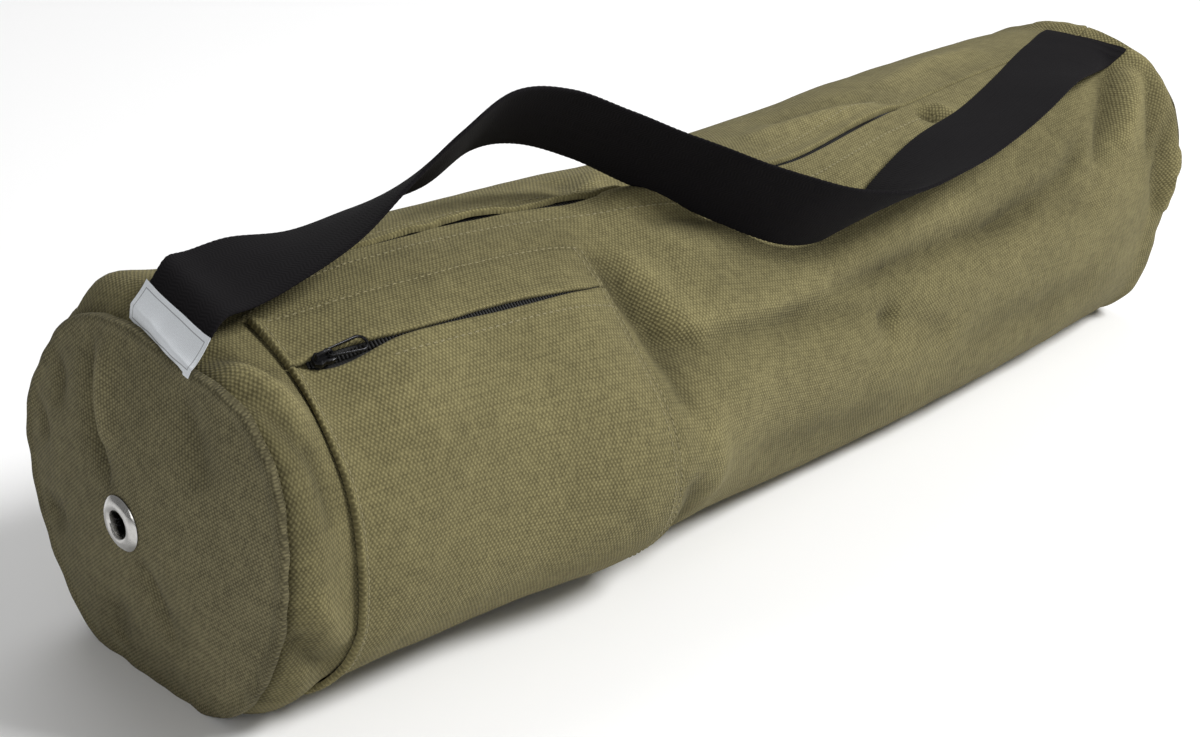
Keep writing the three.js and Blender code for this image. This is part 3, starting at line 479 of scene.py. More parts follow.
def on_bag(form, x, around, height=0.0, fine=True):
    """Point at a height over the cloth's outer face. The underside lies flat on the floor."""
    x, around, height = np.broadcast_arrays(*(np.asarray(v, float) for v in (x, around, height)))
    radius = section_radius(form, x / form.length, around)
    middle = section_middle(form, x / form.length)
    sine, cosine = np.sin(np.radians(around)), np.cos(np.radians(around))
    if fine:
        base = np.stack([x, -cosine * radius, middle + sine * radius], axis=-1)
        radius = radius + wrinkle_height(form, x, around) + seam_pucker(form, x, around)
        radius = radius + unevenness(base, BODY_RIPPLES)
    radius = radius + height
    z = np.maximum(middle + sine * radius, np.maximum(-height, 0.0))
    return np.stack([x, -cosine * radius, z], axis=-1)


def zip_around(form, x):
    return column(ZIP_LINE, "around", x / form.length)


def degrees_of(form, size, x, around):
    return np.degrees(size / section_radius(form, x / form.length, around))


def below_zip(form, x, stop):
    """Degrees around the bag of a stop below the main zip, as in the part's source."""
    top = zip_around(form, x)
    half = degrees_of(form, ZIP_SLIT / 2, x, top)
    return top - half - stop / 360 * (360 - 2 * half)


def edge_round(distance, reach, drop):
    """Drop of a folded cloth edge, in mm, at a distance from the edge."""
    return -drop * ramp(1 - distance / reach) ** 2


def pocket_sides(form):
    left = POCKET["start"] - form.length / 2
    return left, left + POCKET["length"]


def pocket_line(form, name, x):
    """Degrees below the zip of the pocket's top edge or slit."""
    return column(POCKET_LINES, name, x / form.length)


def pocket_x(form, x, stop):
    """Place along the bag of the pocket's cloth, with its two edges drawn out of line."""
    share = (x - pocket_sides(form)[0]) / POCKET["length"]
    near = column(POCKET_EDGE, "near", stop, "below") * ramp(1 - share / 0.7) ** 1.5
    return x + near + column(POCKET_EDGE, "far", stop, "below") * ramp(share) ** 3


def from_pocket_edge(form, x, stop, slit_side):
    """Distance in from the pocket's nearest sewn edge, in mm, and from its two side edges alone."""
    left, right = pocket_sides(form)
    from_sides = np.minimum(x - left, right - x)
    down = stop - pocket_line(form, "top", x) if slit_side == "strip" else POCKET["bottom"] - stop
    return np.minimum(from_sides, down * MM_PER_DEGREE), from_sides


def beside_pocket(form, x, stop):
    """How close the body's cloth is to the outside of the pocket's two side edges, from 0 to 1."""
    near, far = (pocket_x(form, side, stop) for side in pocket_sides(form))
    level = ramp((stop - pocket_line(form, "top", x)) / 3) * ramp((POCKET["bottom"] - stop) / 6)
    return level * bell(np.maximum(near - x, x - far), 4.0)


def pocket_height(form, x, stop, slit_side):
    """Height of the pocket cloth's outer face over the body, on either side of the slit."""
    gap = column(POCKET_LIPS, "gap", x / form.length)
    sewn, from_sides = from_pocket_edge(form, x, stop, slit_side)
    below = stop - pocket_line(form, "zip", x)
    up, lip_lift = (-1, 1.5) if slit_side == "strip" else (1, 0.5)
    from_lip = (up * below - gap) * MM_PER_DEGREE
    height = 2.2 + 1.1 * (1 - np.exp(-np.maximum(sewn - 6, 0) / 16))
    height = height + edge_round(sewn, 1.4, 1.3) + edge_round(from_lip, 1.2, 1.0)
    height = height + lip_lift * bell(from_lip, 4.5) * ramp(from_sides / 8)
    height = height - 0.6 * bell(sewn - 3.0, 1.2) + 1.5 * bell(x - pocket_sides(form)[0] - 1.6, 2.4)
    return height + 0.18 * np.sin(x / 2.6 + stop) * np.sin(stop * 0.9 + 0.4) * np.exp(-sewn / 7)


# Mesh helpers

def new_piece(name, points, faces, look):
    """New piece from points in mm."""
    mesh = bpy.data.meshes.new(name)
    mesh.from_pydata((points * MM).tolist(), [], faces)
    mesh.materials.append(finish(look))
    piece = bpy.data.objects.new(name, mesh)
    bpy.context.scene.collection.objects.link(piece)
    return piece


def cloth_piece(name, outer, inner, uv, wear, look, slot, node, wrap=False):
    """Closed solid between two faces of one grid, in mm, with its UV map and its attribute of painted shade
    and highlight.
    """
    rows, columns = outer.shape[:2]
    low = rows * columns
    index = np.arange(low).reshape(rows, columns)
    if wrap:
        index = np.concatenate([index, index[:, :1]], axis=1)
    a, b, c, d = index[:-1, :-1], index[:-1, 1:], index[1:, 1:], index[1:, :-1]
    quads = [np.stack([a, b, c, d], -1).reshape(-1, 4), np.stack([a, d, c, b], -1).reshape(-1, 4) + low]
    sides = [] if wrap else [index[:, 0][::-1], index[:, -1]]
    for rim in sides + [index[0], index[-1][::-1]]:
        p, q = rim[:-1], rim[1:]
        quads.append(np.stack([q, p, p + low, q + low], -1))
    points = np.concatenate([outer.reshape(-1, 3), inner.reshape(-1, 3)])
    piece = new_piece(name, points, np.concatenate(quads).tolist(), look)
    mesh = piece.data
    corners = np.empty(len(mesh.loops), dtype=np.int32)
    mesh.loops.foreach_get("vertex_index", corners)
    layer = mesh.uv_layers.new(name="cloth")
    layer.data.foreach_set("uv", np.tile(uv.reshape(-1, 2), (2, 1))[corners].ravel())
    # Point attribute of painted shade and highlight, read by the canvas material.
    mesh.attributes.new("wear", "FLOAT", "POINT").data.foreach_set("value", np.tile(wear.ravel(), 2))
    face_outwards(mesh)
    smooth(piece, 55)
    finish_piece(piece, ROOT, slot, node)
    return piece


def face_outwards(mesh):
    """Turns a closed mesh's faces round where its volume is negative."""
    mesh.calc_loop_triangles()
    corners = np.empty(len(mesh.loop_triangles) * 3, dtype=np.int32)
    mesh.loop_triangles.foreach_get("vertices", corners)
    points = np.empty(len(mesh.vertices) * 3)
    mesh.vertices.foreach_get("co", points)
    a, b, c = points.reshape(-1, 3)[corners.reshape(-1, 3)].transpose(1, 0, 2)
    if np.einsum("ij,ij->", a, np.cross(b, c)) < 0:
        mesh.flip_normals()
    mesh.update()


def select_only(piece):
    """Makes one piece the selected and active one."""
    bpy.ops.object.select_all(action="DESELECT")
    piece.select_set(True)
    bpy.context.view_layer.objects.active = piece


def smooth(piece, degrees):
    select_only(piece)
    bpy.ops.object.shade_smooth_by_angle(angle=math.radians(degrees))


def apply_place(piece):
    """Moves a piece's place into its mesh."""
    select_only(piece)
    bpy.ops.object.transform_apply(location=True, rotation=True, scale=True)


def apply_modifier(piece, kind, **values):
    """Adds a modifier with the given values and applies it."""
    modifier = piece.modifiers.new(kind.title(), kind)
    for key, value in values.items():
        setattr(modifier, key, value)
    select_only(piece)
    bpy.ops.object.modifier_apply(modifier=modifier.name)


def edit_all():
    """Enters edit mode with the whole mesh selected."""
    bpy.ops.object.mode_set(mode="EDIT")
    bpy.ops.mesh.select_all(action="SELECT")


def leave_edit():
    bpy.ops.object.mode_set(mode="OBJECT")


def select_where(piece, test):
    """In edit mode, selects the vertices that pass a test of their place, in mm."""
    leave_edit()
    mesh = piece.data
    for vertex in mesh.vertices:
        vertex.select = bool(test(vertex.co / MM))
    for part in [*mesh.edges, *mesh.polygons]:
        part.select = all(mesh.vertices[k].select for k in part.vertices)
    bpy.ops.object.mode_set(mode="EDIT")


def extrude(x=0.0, y=0.0, z=0.0):
    """Extrudes the selected faces by a step in mm."""
    bpy.ops.mesh.extrude_region_move(TRANSFORM_OT_translate={"value": (x * MM, y * MM, z * MM)})


def take_shape(piece):
    """A modelled piece's points, in mm, and its faces. The piece itself is removed."""
    points = np.array([v.co[:] for v in piece.data.vertices]) / MM
    faces = [list(p.vertices) for p in piece.data.polygons]
    bpy.data.objects.remove(piece, do_unlink=True)
    return points, faces


def copies(name, shape, frames, look):
    """One piece of many copies of a shape, each in its frame of a middle and its X, Y and Z ways."""
    points, faces = shape
    moved = [middle + points @ np.stack(ways) for middle, *ways in frames]
    joined = [[v + k * len(points) for v in face] for k in range(len(frames)) for face in faces]
    return new_piece(name, np.concatenate(moved), joined, look)


def finish_piece(piece, body, slot, *nodes):
    """Hangs a piece on its body and hides the CAD nodes that it stands for. Its slot is not used."""
    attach(piece, body)
    if nodes:
        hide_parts(*nodes)


def place_piece(piece, name, place, look, degrees, body, slot, node):
    """Names a piece made at the origin, puts it in its place and finishes it."""
    piece.matrix_world = place
    apply_place(piece)
    piece.name = piece.data.name = name
    piece.data.materials.clear()
    piece.data.materials.append(finish(look))
    face_outwards(piece.data)
    smooth(piece, degrees)
    finish_piece(piece, body, slot, node)


# Materials

class Surface:
    """A node material in the making."""

    def __init__(self, name):
        self.material = bpy.data.materials.new(name)
        self.material.use_nodes = True
        self.tree = self.material.node_tree

    def fill(self, socket, value):
        if isinstance(value, bpy.types.NodeSocket):
            self.tree.links.new(value, socket)
        else:
            socket.default_value = value

    def add(self, kind, inputs, output=0, **values):
        """Adds a shader node and returns one of its outputs."""
        node = self.tree.nodes.new("ShaderNode" + kind)
        for key, value in values.items():
            setattr(node, key, value)
        for key, value in inputs.items():
            self.fill(node.inputs[key], value)
        return node.outputs[output]

    def place(self):
        return self.add("TexCoord", {}, "Object")

    def uv(self):
        return self.add("UVMap", {}, uv_map="cloth")

    def split(self, vector):
        return self.add("SeparateXYZ", {0: vector}).node.outputs

    def stretch(self, vector, scale):
        return self.add("Mapping", {"Vector": vector, "Scale": scale})

    def math(self, operation, first, second=0.0, third=0.0):
        return self.add("Math", {0: first, 1: second, 2: third}, operation=operation)

    def times(self, first, second):
        return self.math("MULTIPLY", first, second)

    def plus(self, first, *more):
        for value in more:
            first = self.math("ADD", first, value)
        return first

    def wave(self, value, pitch, shape="SINE"):
        return self.math(shape, self.times(value, 2 * math.pi / pitch))

    def blend(self, factor, *colours, mode="MIX"):
        """Mixes two colours, each a socket or three numbers."""
        first, second = (c if isinstance(c, bpy.types.NodeSocket) else (*c, 1.0) for c in colours)
        return self.add("Mix", {0: factor, 6: first, 7: second}, 2, data_type="RGBA", blend_type=mode)

    def noise(self, place, scale, detail=3.0, rough=0.55):
        return self.add("TexNoise", {"Vector": place, "Scale": scale, "Detail": detail, "Roughness": rough})

    def spread(self, value, low, high, to_low=0.0, to_high=1.0):
        return self.add("MapRange", {0: value, 1: low, 2: high, 3: to_low, 4: to_high})

    def bump(self, height, strength, distance):
        return self.add("Bump", {"Height": height, "Strength": strength, "Distance": distance})

    def shade(self, **values):
        """Sets or links the shader's own sockets, and returns the finished material."""
        for key, value in values.items():
            self.fill(self.tree.nodes["Principled BSDF"].inputs[key.replace("_", " ")], value)
        return self.material


def tinted(colour, factor):
    return [min(1.0, c * factor) for c in colour]


def canvas_finish(s, light, gap_painted_shade, pitch):
    """Pebbly plain-weave canvas: offset rows of thread tops over gaps painted darker as shade, uneven
    threads, soft fading, and painted shade and highlight from the cloth's wear attribute.
    """
    uv = s.uv()
    wobble = s.add("TexNoise", {"Vector": uv, "Scale": 0.22, "Detail": 2.0}, "Color")
    moved = s.add("VectorMath", {0: wobble, 1: (0.5, 0.5, 0.5)}, operation="SUBTRACT")
    moved = s.add("VectorMath", {0: moved, 1: (0.9, 0.9, 0.0)}, operation="MULTIPLY")
    parts = s.split(s.add("VectorMath", {0: uv, 1: moved}, operation="ADD"))
    over = s.times(s.wave(parts[0], pitch), s.wave(parts[1], pitch * 1.5))
    rows = s.wave(parts[1], pitch * 0.75, "COSINE")
    weave = s.math("MULTIPLY_ADD", over, 0.40, s.math("MULTIPLY_ADD", rows, -0.13, 0.5))
    threads = [s.noise(s.stretch(uv, scale), 1.0, 2.0) for scale in ((0.10, 0.62, 1.0), (0.62, 0.10, 1.0))]
    slubs = s.plus(*threads)
    fluff = s.noise(uv, 1.9, 4.0, 0.7)
    height = s.plus(weave, s.times(slubs, 0.30), s.times(fluff, 0.30))
    # Painted shade and highlight of the cloth, from its wear attribute.
    painted_shading_fac = s.add("Attribute", {}, "Fac", attribute_name="wear")
    top = s.plus(s.spread(weave, 0.0, 0.95), s.spread(fluff, 0.3, 0.7, -0.18, 0.18),
                 s.spread(slubs, 0.8, 1.2, -0.16, 0.16))
    # Thread tops take the light colour, and the gaps between them take the darker colour, which is painted
    # shade of the weave's hollows.
    colour = s.blend(s.math("MAXIMUM", s.math("MINIMUM", top, 1.0), 0.0), gap_painted_shade, light)
    fade = s.spread(s.noise(uv, 0.02, 4.0, 0.6), 0.35, 0.65, 0.92, 1.08)
    mottle = s.spread(s.noise(uv, 0.11, 4.0, 0.6), 0.3, 0.7, -0.07, 0.07)
    # Slow random fading and mottle of the cloth's tone, with the painted shade and highlight added.
    shade = s.plus(fade, mottle, s.spread(painted_shading_fac, -6.0, 3.0, -0.42, 0.20))
    tint = s.add("CombineColor", {0: shade, 1: shade, 2: shade})
    return s.shade(Base_Color=s.blend(1.0, colour, tint, mode="MULTIPLY"), Roughness=0.95,
                   Normal=s.bump(height, 0.8, 0.00055), Sheen_Weight=0.03, Sheen_Roughness=0.6,
                   Specular_IOR_Level=0.08)


def thread_finish(s, colour):
    twist = s.noise(s.place(), 2400.0, 2.0)
    tone = s.blend(s.spread(twist, 0.35, 0.65), tinted(colour, 0.62), tinted(colour, 1.15))
    return s.shade(Base_Color=tone, Roughness=0.75, Normal=s.bump(twist, 0.4, 0.0001), Sheen_Weight=0.1)


def webbing_finish(s, colour):
    """Close black webbing: crosswise ribs over lengthwise warp, with a light fuzz."""
    uv = s.uv()
    parts = s.split(uv)
    lean = s.plus(parts[0], s.times(s.math("PINGPONG", parts[1], 4.2), 0.45))
    warp = s.math("MULTIPLY_ADD", s.wave(parts[1], 1.15), 0.35, 0.65)
    weave = s.math("MULTIPLY_ADD", s.times(s.wave(lean, 1.7), warp), 0.4, 0.6)
    fuzz = s.noise(uv, 2.2, 4.0, 0.7)
    tone = s.times(s.spread(weave, 0.2, 1.0), s.spread(fuzz, 0.3, 0.75, 0.35, 1.0))
    tone = s.times(tone, s.spread(s.noise(uv, 0.05, 3.0), 0.3, 0.7, 0.7, 1.1))
    lit = [c * 2.0 + 0.002 for c in colour]
    return s.shade(Base_Color=s.blend(tone, colour, lit), Roughness=0.82, Sheen_Weight=0.01,
                   Normal=s.bump(s.plus(weave, s.times(fuzz, 0.5)), 0.6, 0.00030), Sheen_Roughness=0.4,
                   Specular_IOR_Level=0.06)


def zip_tape_finish(s, colour):
    ribs = s.add("TexWave", {"Vector": s.place(), "Scale": 260.0, "Distortion": 0.6, "Detail": 1.0},
                 "Fac", bands_direction="X")
    return s.shade(Base_Color=s.blend(ribs, tinted(colour, 0.6), tinted(colour, 1.8)), Roughness=0.8,
                   Normal=s.bump(ribs, 0.4, 0.0002), Sheen_Weight=0.1)


def zip_coil_finish(s, colour):
    grime = s.noise(s.place(), 900.0, 3.0)
    return s.shade(Base_Color=s.blend(grime, colour, tinted(colour, 2.2)),
                   Roughness=s.spread(grime, 0.3, 0.7, 0.35, 0.5))


def enamel_finish(s):
    """Black enamel of the sliders and pulls, with rubbed patches at random."""
    rub = s.noise(s.place(), 700.0, 4.0, 0.65)
    tone = s.blend(s.spread(rub, 0.58, 0.75), (0.012, 0.012, 0.013), (0.10, 0.10, 0.105))
    return s.shade(Base_Color=tone, Metallic=0.75, Roughness=s.spread(rub, 0.3, 0.7, 0.22, 0.4),
                   Normal=s.bump(rub, 0.15, 0.0001))


def nickel_finish(s, colour):
    """Bright nickel plate with fine turning lines and small scratches."""
    place = s.place()
    haze = s.noise(place, 420.0, 4.0, 0.6)
    scratches = s.noise(s.stretch(place, (400.0, 2600.0, 400.0)), 1.0, 2.0)
    rough = s.plus(s.spread(haze, 0.3, 0.7, 0.10, 0.22), s.spread(scratches, 0.45, 0.7, 0.0, 0.12))
    return s.shade(Base_Color=s.blend(s.spread(haze, 0.35, 0.7), colour, tinted(colour, 0.82)), Metallic=1.0,
                   Roughness=rough, Normal=s.bump(scratches, 0.12, 0.00005))


def label_finish(s, colour, trim):
    """Smooth woven satin with a plain thin border, and no lettering."""
    uv = s.uv()
    parts = s.split(uv)
    from_sides = [s.math("MINIMUM", part, s.math("SUBTRACT", size, part))
                  for part, size in zip(parts, (trim.label_height, trim.label_width))]
    line = s.math("COMPARE", s.math("MINIMUM", *from_sides), 2.4, 0.22)
    tone = s.blend(s.spread(s.noise(uv, 1.6, 3.0), 0.3, 0.7), tinted(colour, 0.9), tinted(colour, 1.06))
    return s.shade(Base_Color=s.blend(line, tone, tinted(colour, 0.42)), Roughness=0.45, Sheen_Weight=0.15,
                   Normal=s.bump(s.wave(parts[0], 0.5), 0.25, 0.00008), Specular_IOR_Level=0.45)


def floor_finish(s, colour):
    return s.shade(Base_Color=(*colour, 1.0), Roughness=0.7, Specular_IOR_Level=0.2)


_made = {}


def finish(name):
    """The named material, made once."""
    scene = bpy.context.scene
    cloth, trim = scene.mat_bag_cloth, scene.mat_bag_trim
    makers = {
        "body_canvas": (canvas_finish, cloth.light, cloth.gap_painted_shade, cloth.weave),
        "panel_canvas": (canvas_finish, cloth.panel_light, cloth.panel_gap_painted_shade, cloth.weave * 0.95),
        "stitch_thread": (thread_finish, cloth.thread),
        "strap_webbing": (webbing_finish, trim.webbing),
        "zip_tape": (zip_tape_finish, trim.zip),
        "zip_coil": (zip_coil_finish, trim.zip),
        "black_enamel": (enamel_finish,),
        "eyelet_nickel": (nickel_finish, trim.metal),
        "label_satin": (label_finish, trim.label, trim),
        "floor": (floor_finish, scene.mat_bag_stage.floor),
    }
    if name not in _made:
        make, *values = makers[name]
        _made[name] = make(Surface(name), *values)
    return _made[name]


# Pieces

def body_cloth(form):
    """Canvas tube, open along the main zip's slot, with its ends turned in."""
    end = form.length / 2
    reach, drop = TURNED_END["reach"], TURNED_END["drop"]
    middle = fill_between((-end + 7.4, end - 7.4), 3.3)
    drop = np.concatenate([drop, 0 * middle, drop[::-1]])[:, None]
    x = np.concatenate([reach - end, middle, end - reach[::-1]])
    stop = np.concatenate([LIP_STOPS, fill_between((4.4, 355.6), 2.05), 360 - LIP_STOPS[::-1]])
    x, stop = np.meshgrid(x, stop, indexing="ij")
    along = x / form.length
    inside = (along > ZIP_LIPS["along"][0]) & (along < ZIP_LIPS["along"][-1])
    gap = np.where(inside, column(ZIP_LIPS, "gap", along), -0.15)
    roll = np.where(inside, column(ZIP_LIPS, "roll", along), 0.4)
    front = np.where(inside, 0.9, 0.3)
    top = zip_around(form, x)
    half = degrees_of(form, gap, x, top)
    around = top - half - stop / 360 * (360 - 2 * half)
    from_front, from_rear = stop * MM_PER_DEGREE, (360 - stop) * MM_PER_DEGREE
    wave = 1 + 0.18 * np.sin(x / 9.0) * np.sin(x / 23.0 + 1)
    beside = beside_pocket(form, x, stop)
    height = front * bell(from_front, 5.5) + roll * wave * bell(from_rear, 4.6) - drop
    height = height - 0.9 * bell(from_rear - 9, 3.2) * inside - 0.6 * beside
    height = height + edge_round(from_front, 1.3, 1.3) + edge_round(from_rear, 1.5, 1.7)
    height = height + 0.35 * np.sin(x / 2.9) * np.sin(x / 17.0) * np.exp(-from_rear / 9) * inside
    # Painted shade and highlight: creases darker and rolls lighter, with painted shade under the strap;
    # painted shadow beside the pocket's side edges; painted highlight on the zip's lips.
    wear = wrinkle_height(form, x, around) - 1.6 * beside + 0.6 * (front + roll * bell(from_rear, 3))
    # Painted shade beside both end seams, wider and stronger beside the near seam.
    wear = wear - 3.0 * (bell(end - np.abs(x), 3.5) + bell(end + x, 7.5) + bell(end + x, 26.0))
    outer, inner = (on_bag(form, x, around, height - down) for down in (0.0, form.cloth))
    uv = np.stack([x, stop * MM_PER_DEGREE], axis=-1)
    piece = cloth_piece("body_cloth", outer, inner, uv, wear, "body_canvas", "canvas", "body_shell")


def panel_cloth(form, name, side, dome, hole, creases, node):
    """Domed round end panel with a rounded, turned-in rim."""
    seam = side * form.length / 2
    around = np.arange(0.0, 360.0, 2.0)
    middle = section_middle(form, side / 2)
    rings = np.linspace(0.0, 0.94, 34) ** 0.9
    shares, rim_x, rim_r = (np.concatenate([rings * keep, PANEL_RIM[key]])[:, None]
                            for key, keep in (("share", 1), ("inwards", 0), ("proud", 0)))
    rim = on_bag(form, seam, around, fine=False)[:, 1:] - (0.0, middle)
    rim_size = np.hypot(rim[:, 0], rim[:, 1])
    direction = rim / rim_size[:, None]
    rim_size = rim_size - (FAR_PANEL_IN if side > 0 else 0.0)
    radius = hole + (rim_size - hole) * shares
    out = radius / rim_size
    from_rim = (1 - out) * rim_size
    radius = radius + rim_r
    y, z = radius * direction[:, 0], middle + radius * direction[:, 1]
    detail = sum(line_depth(y, z, path, width, depth * form.crease, sharp)
                 for path, width, depth, sharp in creases.values())
    detail = detail * ramp((1 - out) / 0.18)
    places = np.stack([np.full(y.shape, seam), y, z], axis=-1)
    pucker = 0.5 * np.sin(around * MM_PER_DEGREE / 3.3) * np.sin(around / 11.0 + 1)
    lift = detail + unevenness(places, PANEL_RIPPLES) + pucker * np.exp(-from_rim / 9)
    if hole > 0:
        lift = lift * ramp((radius - 14) / 10)
    x = seam + side * (dome * (1 - out * out) + lift - rim_x)
    outer = np.stack([x, y, np.maximum(z, 0.0)], axis=-1)
    inner_z = np.where(z < form.cloth, np.maximum(z, 0.0) + form.cloth * 0.6, z)
    inner_y = y * np.where(out > 0.97, 1 - form.cloth / rim_size, 1.0)
    inner = np.stack([x - side * form.cloth, inner_y, inner_z], axis=-1)
    uv = np.stack([y * 0.94 + z * 0.34, z * 0.94 - y * 0.34], axis=-1)
    # Painted shade and highlight: creases darker, rolls lighter, and painted shade in a band along the rim.
    wear = detail - 4.0 * bell(from_rim, 3.5)
    piece = cloth_piece(name, outer, inner, uv, wear, "panel_canvas", "canvas", node, wrap=True)
    if hole == 0:
        select_only(piece)
        edit_all()
        bpy.ops.mesh.remove_doubles(threshold=0.00001)
        leave_edit()


def pocket_cloth(form, name, slit_side, node):
    """Pocket cloth above or below the slit, laid over the body."""
    left, right = pocket_sides(form)
    x = np.concatenate([left + HEM_STOPS, fill_between((left + 7, right - 7), 2.4), right - HEM_STOPS[::-1]])
    gap = column(POCKET_LIPS, "gap", x / form.length)
    slit = pocket_line(form, "zip", x)
    if slit_side == "strip":
        near, far, rows, size = pocket_line(form, "top", x), slit - gap, 12, (0.171, 0.033)
    else:
        near, far, rows, size = slit + gap, np.full(len(x), float(POCKET["bottom"])), 80, (0.171, 0.197)
    near, far, rim = near[:, None], far[:, None], HEM_STOPS[:4] / MM_PER_DEGREE
    first, last = near + rim[-1], far - rim[-1]
    between = first + (last - first) * np.linspace(0, 1, rows)[1:-1]
    stops = np.concatenate([near + rim, between, far - rim[::-1]], axis=1)
    flat_x = np.broadcast_to(x[:, None], stops.shape)
    x = pocket_x(form, flat_x, stops)
    around = below_zip(form, x, stops)
    height = pocket_height(form, flat_x, stops, slit_side)
    outer = on_bag(form, x, around, height)
    inner = on_bag(form, x, around, np.minimum(height - 1.4, height * 0.35))
    sewn = from_pocket_edge(form, flat_x, stops, slit_side)[0]
    # Painted shade and highlight: creases darker, rolls lighter, and cloth that stands higher lighter.
    wear = wrinkle_height(form, x, around) + 0.8 * (height - 2.6)
    # Painted highlight on the folded edge, and painted shade in the groove along the stitch rows.
    wear = wear + 1.6 * bell(sewn - 1.0, 0.9) - 2.2 * bell(sewn - 3.1, 1.1)
    uv = np.stack([x + 0.37, stops * MM_PER_DEGREE + 0.21], axis=-1)
    piece = cloth_piece(name, outer, inner, uv, wear, "body_canvas", "canvas", node)


def cloth_height(form, where, x, stop):
    """Height over the body of the cloth that a stitch row is sewn through."""
    if where == "pocket":
        strip, front = (pocket_height(form, x, stop, side) for side in ("strip", "front"))
        return np.where(stop < pocket_line(form, "zip", x), strip, front)
    return 0.9 * bell(stop * MM_PER_DEGREE, 5.5) - 0.9 * bell((360 - stop) * MM_PER_DEGREE - 9, 3.2)


def stitch_shape():
    """One stitch, modelled once along X: a short thread that dips into the cloth at both ends."""
    bpy.ops.mesh.primitive_cylinder_add(
        vertices=6, radius=THREAD_RADIUS * MM, depth=MM, rotation=(0, math.pi / 2, 0))
    piece = bpy.context.object
    apply_place(piece)
    for side in (-1, 1):
        select_where(piece, lambda co, s=side: co.x * s > 0.4)
        for ahead, down, size in ((0.7, -0.1, 0.85), (0.25, -0.4, 0.6)):
            extrude(side * ahead, 0, down)
            bpy.ops.transform.resize(value=(1, size, size))
    leave_edit()
    return take_shape(piece)


def stitch_row(form, cloth, name, where, path, shape):
    """A row of stitches along a path on the cloth."""
    path = np.array(path, float)
    marks = run_along(path * (1, MM_PER_DEGREE))
    steps = np.linspace(0, marks[-1], 401)
    x, stop = (np.interp(steps, marks, path[:, k]) for k in (0, 1))
    height = cloth_height(form, where, x, stop)
    if where == "pocket":
        x = pocket_x(form, x, stop)
    line, above = (on_bag(form, x, below_zip(form, x, stop), height + over) for over in (0.12, 1.12))
    run = run_along(line)
    count = max(1, int(run[-1] / (cloth.stitch + cloth.stitch_gap)))
    at = lambda place, points: np.array([np.interp(place, run, points[:, k]) for k in range(3)])
    frames = []
    for k in range(count):
        place = (k + 0.5) * run[-1] / count
        a, b = at(place - cloth.stitch / 2, line), at(place + cloth.stitch / 2, line)
        middle = (a + b) / 2
        ahead = (b - a) / np.linalg.norm(b - a)
        side = np.cross(at(place, above) - middle, ahead)
        side /= np.linalg.norm(side)
        up = np.cross(ahead, side)
        ahead = (ahead + side * 0.10 * math.sin(k * 2.4)) * cloth.stitch / np.ptp(shape[0][:, 0])
        frames.append((middle, ahead, side, up))
    piece = copies(name, shape, frames, "stitch_thread")
    smooth(piece, 60)
    finish_piece(piece, ROOT, "canvas")


def strap_point(form, trim, share, across, height, half_width):
    """Point of the strap: across from -1 at the back edge to +1 at the front edge."""
    share, across, height = np.broadcast_arrays(*(np.asarray(v, float) for v in (share, across, height)))
    first, last = STRAP_LINE["along"][[0, -1]]
    along = first + (last - first) * share
    around, lift, tilt, skew, flat = (column(STRAP_LINE, key, along)
                                      for key in ("around", "lift", "tilt", "skew", "flat"))
    x = along * form.length
    tilt, skew = np.radians(tilt), np.radians(skew)
    lift = np.maximum(lift, 0) * trim.strap_arch
    flat = ramp(flat)[..., None]
    lay = 0.7 - 5.0 * ramp((along - 0.469) / 0.012)
    level = np.cos(skew)
    width_way = np.stack([np.sin(skew), -level * np.cos(tilt), level * np.sin(tilt)], axis=-1)
    face_way = np.stack([np.zeros(x.shape), np.sin(tilt), np.cos(tilt)], axis=-1)
    reach = across * half_width
    straight = on_bag(form, x, around, lay + lift, fine=False)
    straight = straight + width_way * reach[..., None] + face_way * height[..., None]
    turned = around - degrees_of(form, reach * level, x, around)
    laid = on_bag(form, x + reach * np.sin(skew), turned, lay + height)
    return straight * (1 - flat) + laid * flat


def strap_rows(form, trim, step):
    """Even steps along the strap, as shares, with the length run up to each."""
    fine = np.linspace(0, 1, 1200)
    run = run_along(strap_point(form, trim, fine, 0.0, 0.0, 0.0))
    places = np.linspace(0, run[-1], int(run[-1] / step) + 1)
    return np.interp(places, run, fine), places


def strap_webbing(form, trim):
    """Flat webbing strap with scalloped edges and a slight cup."""
    shares, places = strap_rows(form, trim, 0.85)
    share_grid, across = np.meshgrid(shares, STRAP_STOPS, indexing="ij")
    round_off = 0.55 * ramp(1 - (1 - np.abs(across)) / 0.05) ** 2
    scallop = 0.3 * np.abs(np.sin(places * math.pi / 3.1))[:, None] * (np.abs(across) > 0.94)
    half = trim.strap_width / 2 + scallop - 0.2
    cup = 0.4 * (across ** 2 - 0.35)
    outer, inner = (strap_point(form, trim, share_grid, across, height + cup, half)
                    for height in (trim.strap_thickness - round_off, round_off))
    uv = np.stack([np.broadcast_to(places[:, None], across.shape), across * trim.strap_width / 2], axis=-1)
    piece = cloth_piece(
        "strap_webbing", outer, inner, uv, 0 * across, "strap_webbing", "webbing", "carry_strap")


